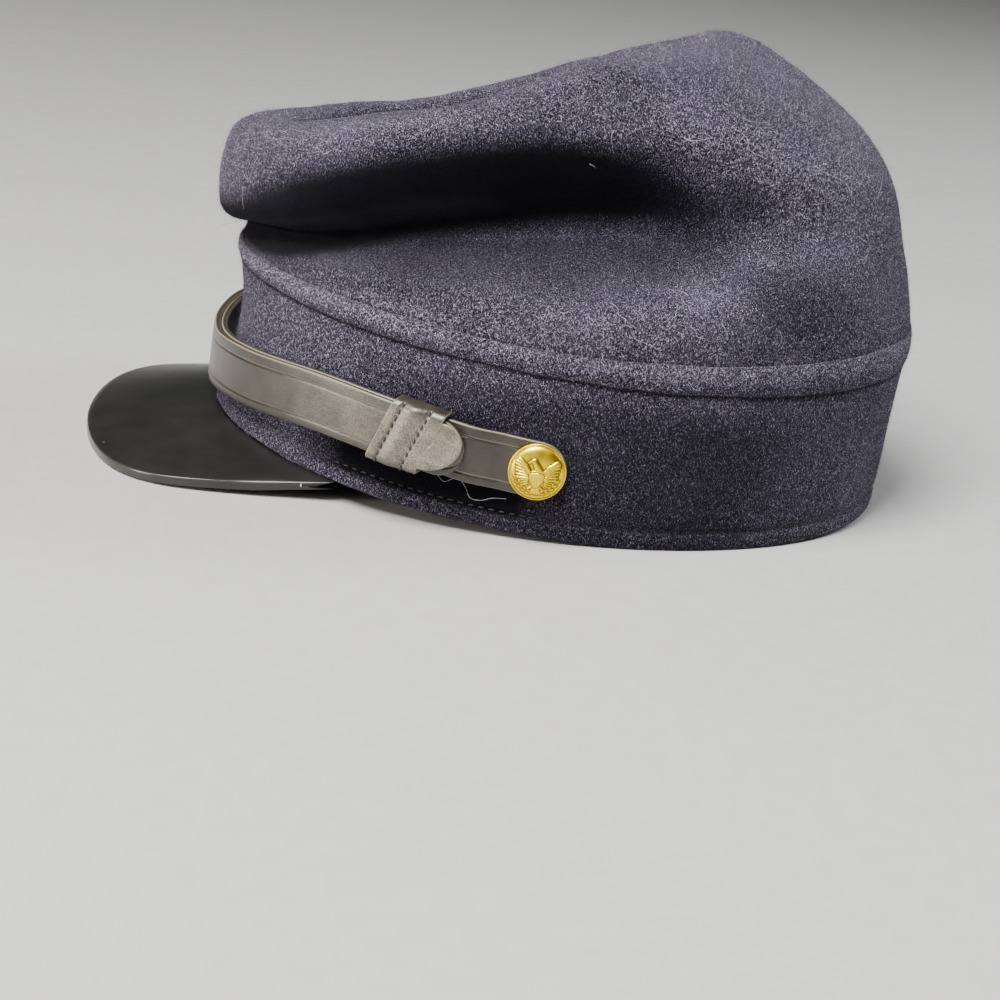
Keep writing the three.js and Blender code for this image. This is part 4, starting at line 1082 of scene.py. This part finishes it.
for number, hair in enumerate([
        [(94.6, 8.8), (95.3, 8.2), (95.0, 7.6), (95.7, 7.1), (95.3, 6.6), (96.0, 6.3)],
        [(95.6, 5.7), (95.8, 5.0), (96.6, 4.7), (97.6, 4.4), (98.8, 4.0), (99.2, 4.3)],
        [(106.0, 6.7), (106.5, 6.1), (106.2, 5.6), (107.3, 5.4)], [(104.0, 29.0), (104.7, 28.6), (104.9, 28.1)],
        [(147.0, 28.5), (148.0, 27.2), (149.7, 26.4), (151.2, 25.0), (151.5, 23.6)],
        [(44.0, 41.0), (46.0, 40.4), (47.0, 39.5), (49.2, 39.8)],
        [(136.0, 35.0), (137.5, 33.0), (137.0, 31.0), (139.0, 29.5)],
        [(238.0, 30.0), (240.0, 28.5), (243.0, 28.2)], [(200.0, 14.0), (202.0, 12.0), (205.0, 11.6)]]):
    lay_strand(f"lint_{number + 1}", [on_crown(angle, row, 0.45 + 0.3 * (k % 2)) for k,
        (angle, row) in enumerate(hair)])
loose_end = []
for angle, below in [(66.2, -0.6), (67.2, 1.4), (68.5, 2.6), (69.8, 1.0), (70.9, 0.6), (72.0, 2.4), (73.0, 4.8),
        (74.6, 4.7), (76.4, 3.2), (78.6, 2.4)]:
    at = np.array([math.radians(angle)])
    loose_end.append(off_band(at, strap_middle(at) - strap_width / 2 - below, np.array([0.7]))[0])
lay_strand("loose_thread", loose_end)

# Buttons
# Small domed buttons stamped from sheet brass and gilded. The face has a rolled rim and, in low
# relief, a bird with raised wings and a striped shield over a wreath. A pinned shank holds each.
button_rise, button_rim = 3.0, 0.8
button_lift = (button_diameter / 2) ** 2 / head_length + clearance / 3
button_seat = 2 * clearance + strap_thickness + button_lift

brass, brass_shader, brass_nodes = finish("gilt_brass", (0.95, 0.68, 0.17), 0.27, Metallic=1.0)
here = object_place(brass_nodes)
tarnish = cloudy(brass_nodes, here, 300, 5, 0.6)
hollow = mark_on(brass_nodes, "hollow")
gilt = ramp(brass_nodes, tarnish.outputs["Fac"], [(0.3, (1.0, 0.65, 0.005)), (0.7, (1.0, 0.77, 0.03))])
worn = mixed(brass_nodes, hollow, gilt, (0.16, 0.06, 0.002, 1))
link(brass_nodes, worn, brass_shader.inputs["Base Color"])
link(brass_nodes, node(brass_nodes, "ShaderNodeMapRange",
    {"Value": tarnish.outputs["Fac"], "From Min": 0.3, "From Max": 0.7,
                                                                "To Min": 0.28, "To Max": 0.40}),
                                                                brass_shader.inputs["Roughness"])
link(brass_nodes, node(brass_nodes, "ShaderNodeBump", {"Height": tarnish.outputs["Fac"], "Strength": 0.15,
                                                           "Distance": 0.0001}), brass_shader.inputs["Normal"])


def ridge(x, y, start, end, width, height):
    """A rounded bar in relief from start to end, each in shares of the dome's radius."""
    (ax, ay), (bx, by) = start, end
    dx, dy = bx - ax, by - ay
    share = np.clip(((x - ax) * dx + (y - ay) * dy) / (dx * dx + dy * dy + 1e-9), 0, 1)
    far = np.hypot(x - ax - share * dx, y - ay - share * dy) / (width * (1 - 0.35 * share))
    return height * np.sqrt(np.clip(1 - far ** 2, 0, 1))


def lump(x, y, centre, radii, height, turn=0.0):
    c, s = math.cos(turn), math.sin(turn)
    dx, dy = x - centre[0], y - centre[1]
    far = np.hypot((dx * c + dy * s) / radii[0], (-dx * s + dy * c) / radii[1])
    return height * np.sqrt(np.clip(1 - far ** 2, 0, 1))


def button_relief(x, y):
    """Height of the stamped design over the dome, in mm."""
    forms = [ridge(x, y, (0.10, 0.06), (-0.11, 0.42), 0.15, 0.36), lump(x, y, (-0.15, 0.46), (0.125, 0.10), 0.38),
             ridge(x, y, (-0.22, 0.46), (-0.34, 0.385), 0.05, 0.30), lump(x, y, (0.0, 0.0), (0.30, 0.13), 0.34)]
    for way in (-1, 1):
        forms.append(ridge(x, y, (way * 0.26, 0.02), (way * 0.42, 0.27), 0.085, 0.36))
        forms.append(ridge(x, y, (way * 0.42, 0.27), (way * 0.72, 0.50), 0.07, 0.34))
        for k in range(6):
            root = (way * (0.47 - 0.03 * k), 0.23 - 0.085 * k)
            tip = (way * (0.82 - 0.018 * k), 0.42 - 0.125 * k)
            forms.append(ridge(x, y, root, tip, 0.046, 0.27))
        for k in range(3):
            forms.append(ridge(x, y, (way * 0.33, -0.26 - 0.07 * k), (way * (0.60 - 0.06 * k), -0.30 - 0.09 * k),
                0.036, 0.2))
        forms.append(ridge(x, y, (way * 0.14, -0.50), (way * 0.28, -0.60), 0.05, 0.26))
        for k in range(5):
            turn = math.radians(-70 + 13.5 * k)
            leaf = (way * 0.83 * math.cos(turn), 0.83 * math.sin(turn))
            forms.append(lump(x, y, leaf, (0.085, 0.036), 0.22, turn=(math.radians(62) + turn) * way))
            leaf = (way * 0.72 * math.cos(turn), 0.72 * math.sin(turn))
            forms.append(lump(x, y, leaf, (0.075, 0.032), 0.2, turn=(math.radians(118) + turn) * way))
    for k in range(5):
        forms.append(ridge(x, y, (0.03 * (k - 2), -0.50), (0.085 * (k - 2), -0.80), 0.045, 0.26))
    found = np.max(forms, axis=0)
    # the shield stands in front of the bird, plain above and barred below, with a groove round it
    half = 0.265 * np.sqrt(np.clip((y + 0.54) / 0.36, 0, 1))
    inside = np.minimum(half - np.abs(x), 0.05 - 0.14 * np.abs(x) - y)
    bars = 0.42 - 0.12 * (np.abs(y + 0.15) < 0.022) - 0.11 * (y < -0.17) * (np.cos(x * 66) < -0.1)
    found = np.where((inside > -0.035) & (y > -0.57), 0.06 + 0 * found, found)
    return np.where(inside > 0, np.clip(inside / 0.02, 0, 1) * bars, found)


def button_place(side):
    """Where a button sits, and its own ways sideways, up and out."""
    at = np.array([side * button_angle])
    facing, upward = outward(at)[0], np.array([0, 0, 1.0])
    return off_band(at, strap_middle(at), np.array([button_seat]))[0], np.cross(upward, facing), upward, facing


def stamp_button(name, side):
    radius = button_diameter / 2
    back, lip = button_rim * 0.6, button_rim * 0.6 + button_rim
    rolled = [(0.001, 0), (radius * 0.6, 0), (radius - back, 0), (radius - 0.16, 0.14), (radius, back),
        (radius, lip - 0.3),
              (radius - 0.06, lip - 0.08), (radius - 0.2, lip + 0.02), (radius - 0.38, lip - 0.02),
              (radius - 0.5, lip - 0.14)]
    dome_radius, dome_foot = radius - 0.6, lip - 0.2
    turns = np.radians(np.linspace(2, 89.8, 78))
    profile = rolled + [(dome_radius * math.cos(t), dome_foot + (button_rise - dome_foot) * math.sin(t) ** 0.9)
        for t in turns]
    spin = np.linspace(0, 2 * math.pi, 200, endpoint=False)
    out, up = np.array(profile)[:, 0], np.array(profile)[:, 1]
    x, y = out[None, :] * np.cos(spin)[:, None], out[None, :] * np.sin(spin)[:, None]
    share = np.hypot(x, y) / dome_radius
    stamped = button_relief(x / dome_radius, y / dome_radius) * np.clip((0.97 - share) / 0.05, 0, 1)
    beside = np.max([button_relief(x / dome_radius + 0.055 * math.cos(k * math.pi / 4),
        y / dome_radius + 0.055 * math.sin(k * math.pi / 4))
                     for k in range(8)], axis=0)
    stamped[:, :len(rolled)] = 0
    height = up[None, :] + stamped
    hollow = np.clip(1 - stamped / 0.16, 0, 1) * np.clip(beside / 0.2, 0, 1) * (share < 0.97) * 0.85
    hollow[:, :len(rolled)] = 0
    hollow[:, len(rolled) - 1] = 0.9
    seat, sideways, upward, facing = button_place(side)
    grid = seat + x[..., None] * sideways + y[..., None] * upward + height[..., None] * facing
    return skin(name, grid, marks={"hollow": hollow}, look=brass)


def turn_shank(name, side):
    """The pin behind the face and the washer that holds it inside the band."""
    inside = button_seat + band_wall + clearance
    profile = np.array([(0.01, -inside - 1.0), (2.7, -inside - 1.0), (2.93, -inside - 0.93), (3.0, -inside - 0.75),
        (3.0, -inside - 0.25),
                        (2.93, -inside - 0.07), (2.7, -inside), (1.62, -inside), (1.5, -inside + 0.12), (1.5, -0.1),
                        (1.6, 0.2), (0.01, 0.2)])
    spin = np.linspace(0, 2 * math.pi, 48, endpoint=False)[:, None]
    seat, sideways, upward, facing = button_place(side)
    grid = seat + (profile[:, 0] * np.cos(spin))[..., None] * sideways + (profile[:, 0] * np.sin(spin))[...,
        None] * upward \
        + (profile[:, 1] + 0 * spin)[..., None] * facing
    return skin(name, grid, look=brass)


for side, carried in ((1, "button_left"), (-1, "button_right")):
    wear(stamp_button(f"{carried}_face", side), "button_brass", carried)
    wear(turn_shank(f"{carried}_shank", side), "button_brass")
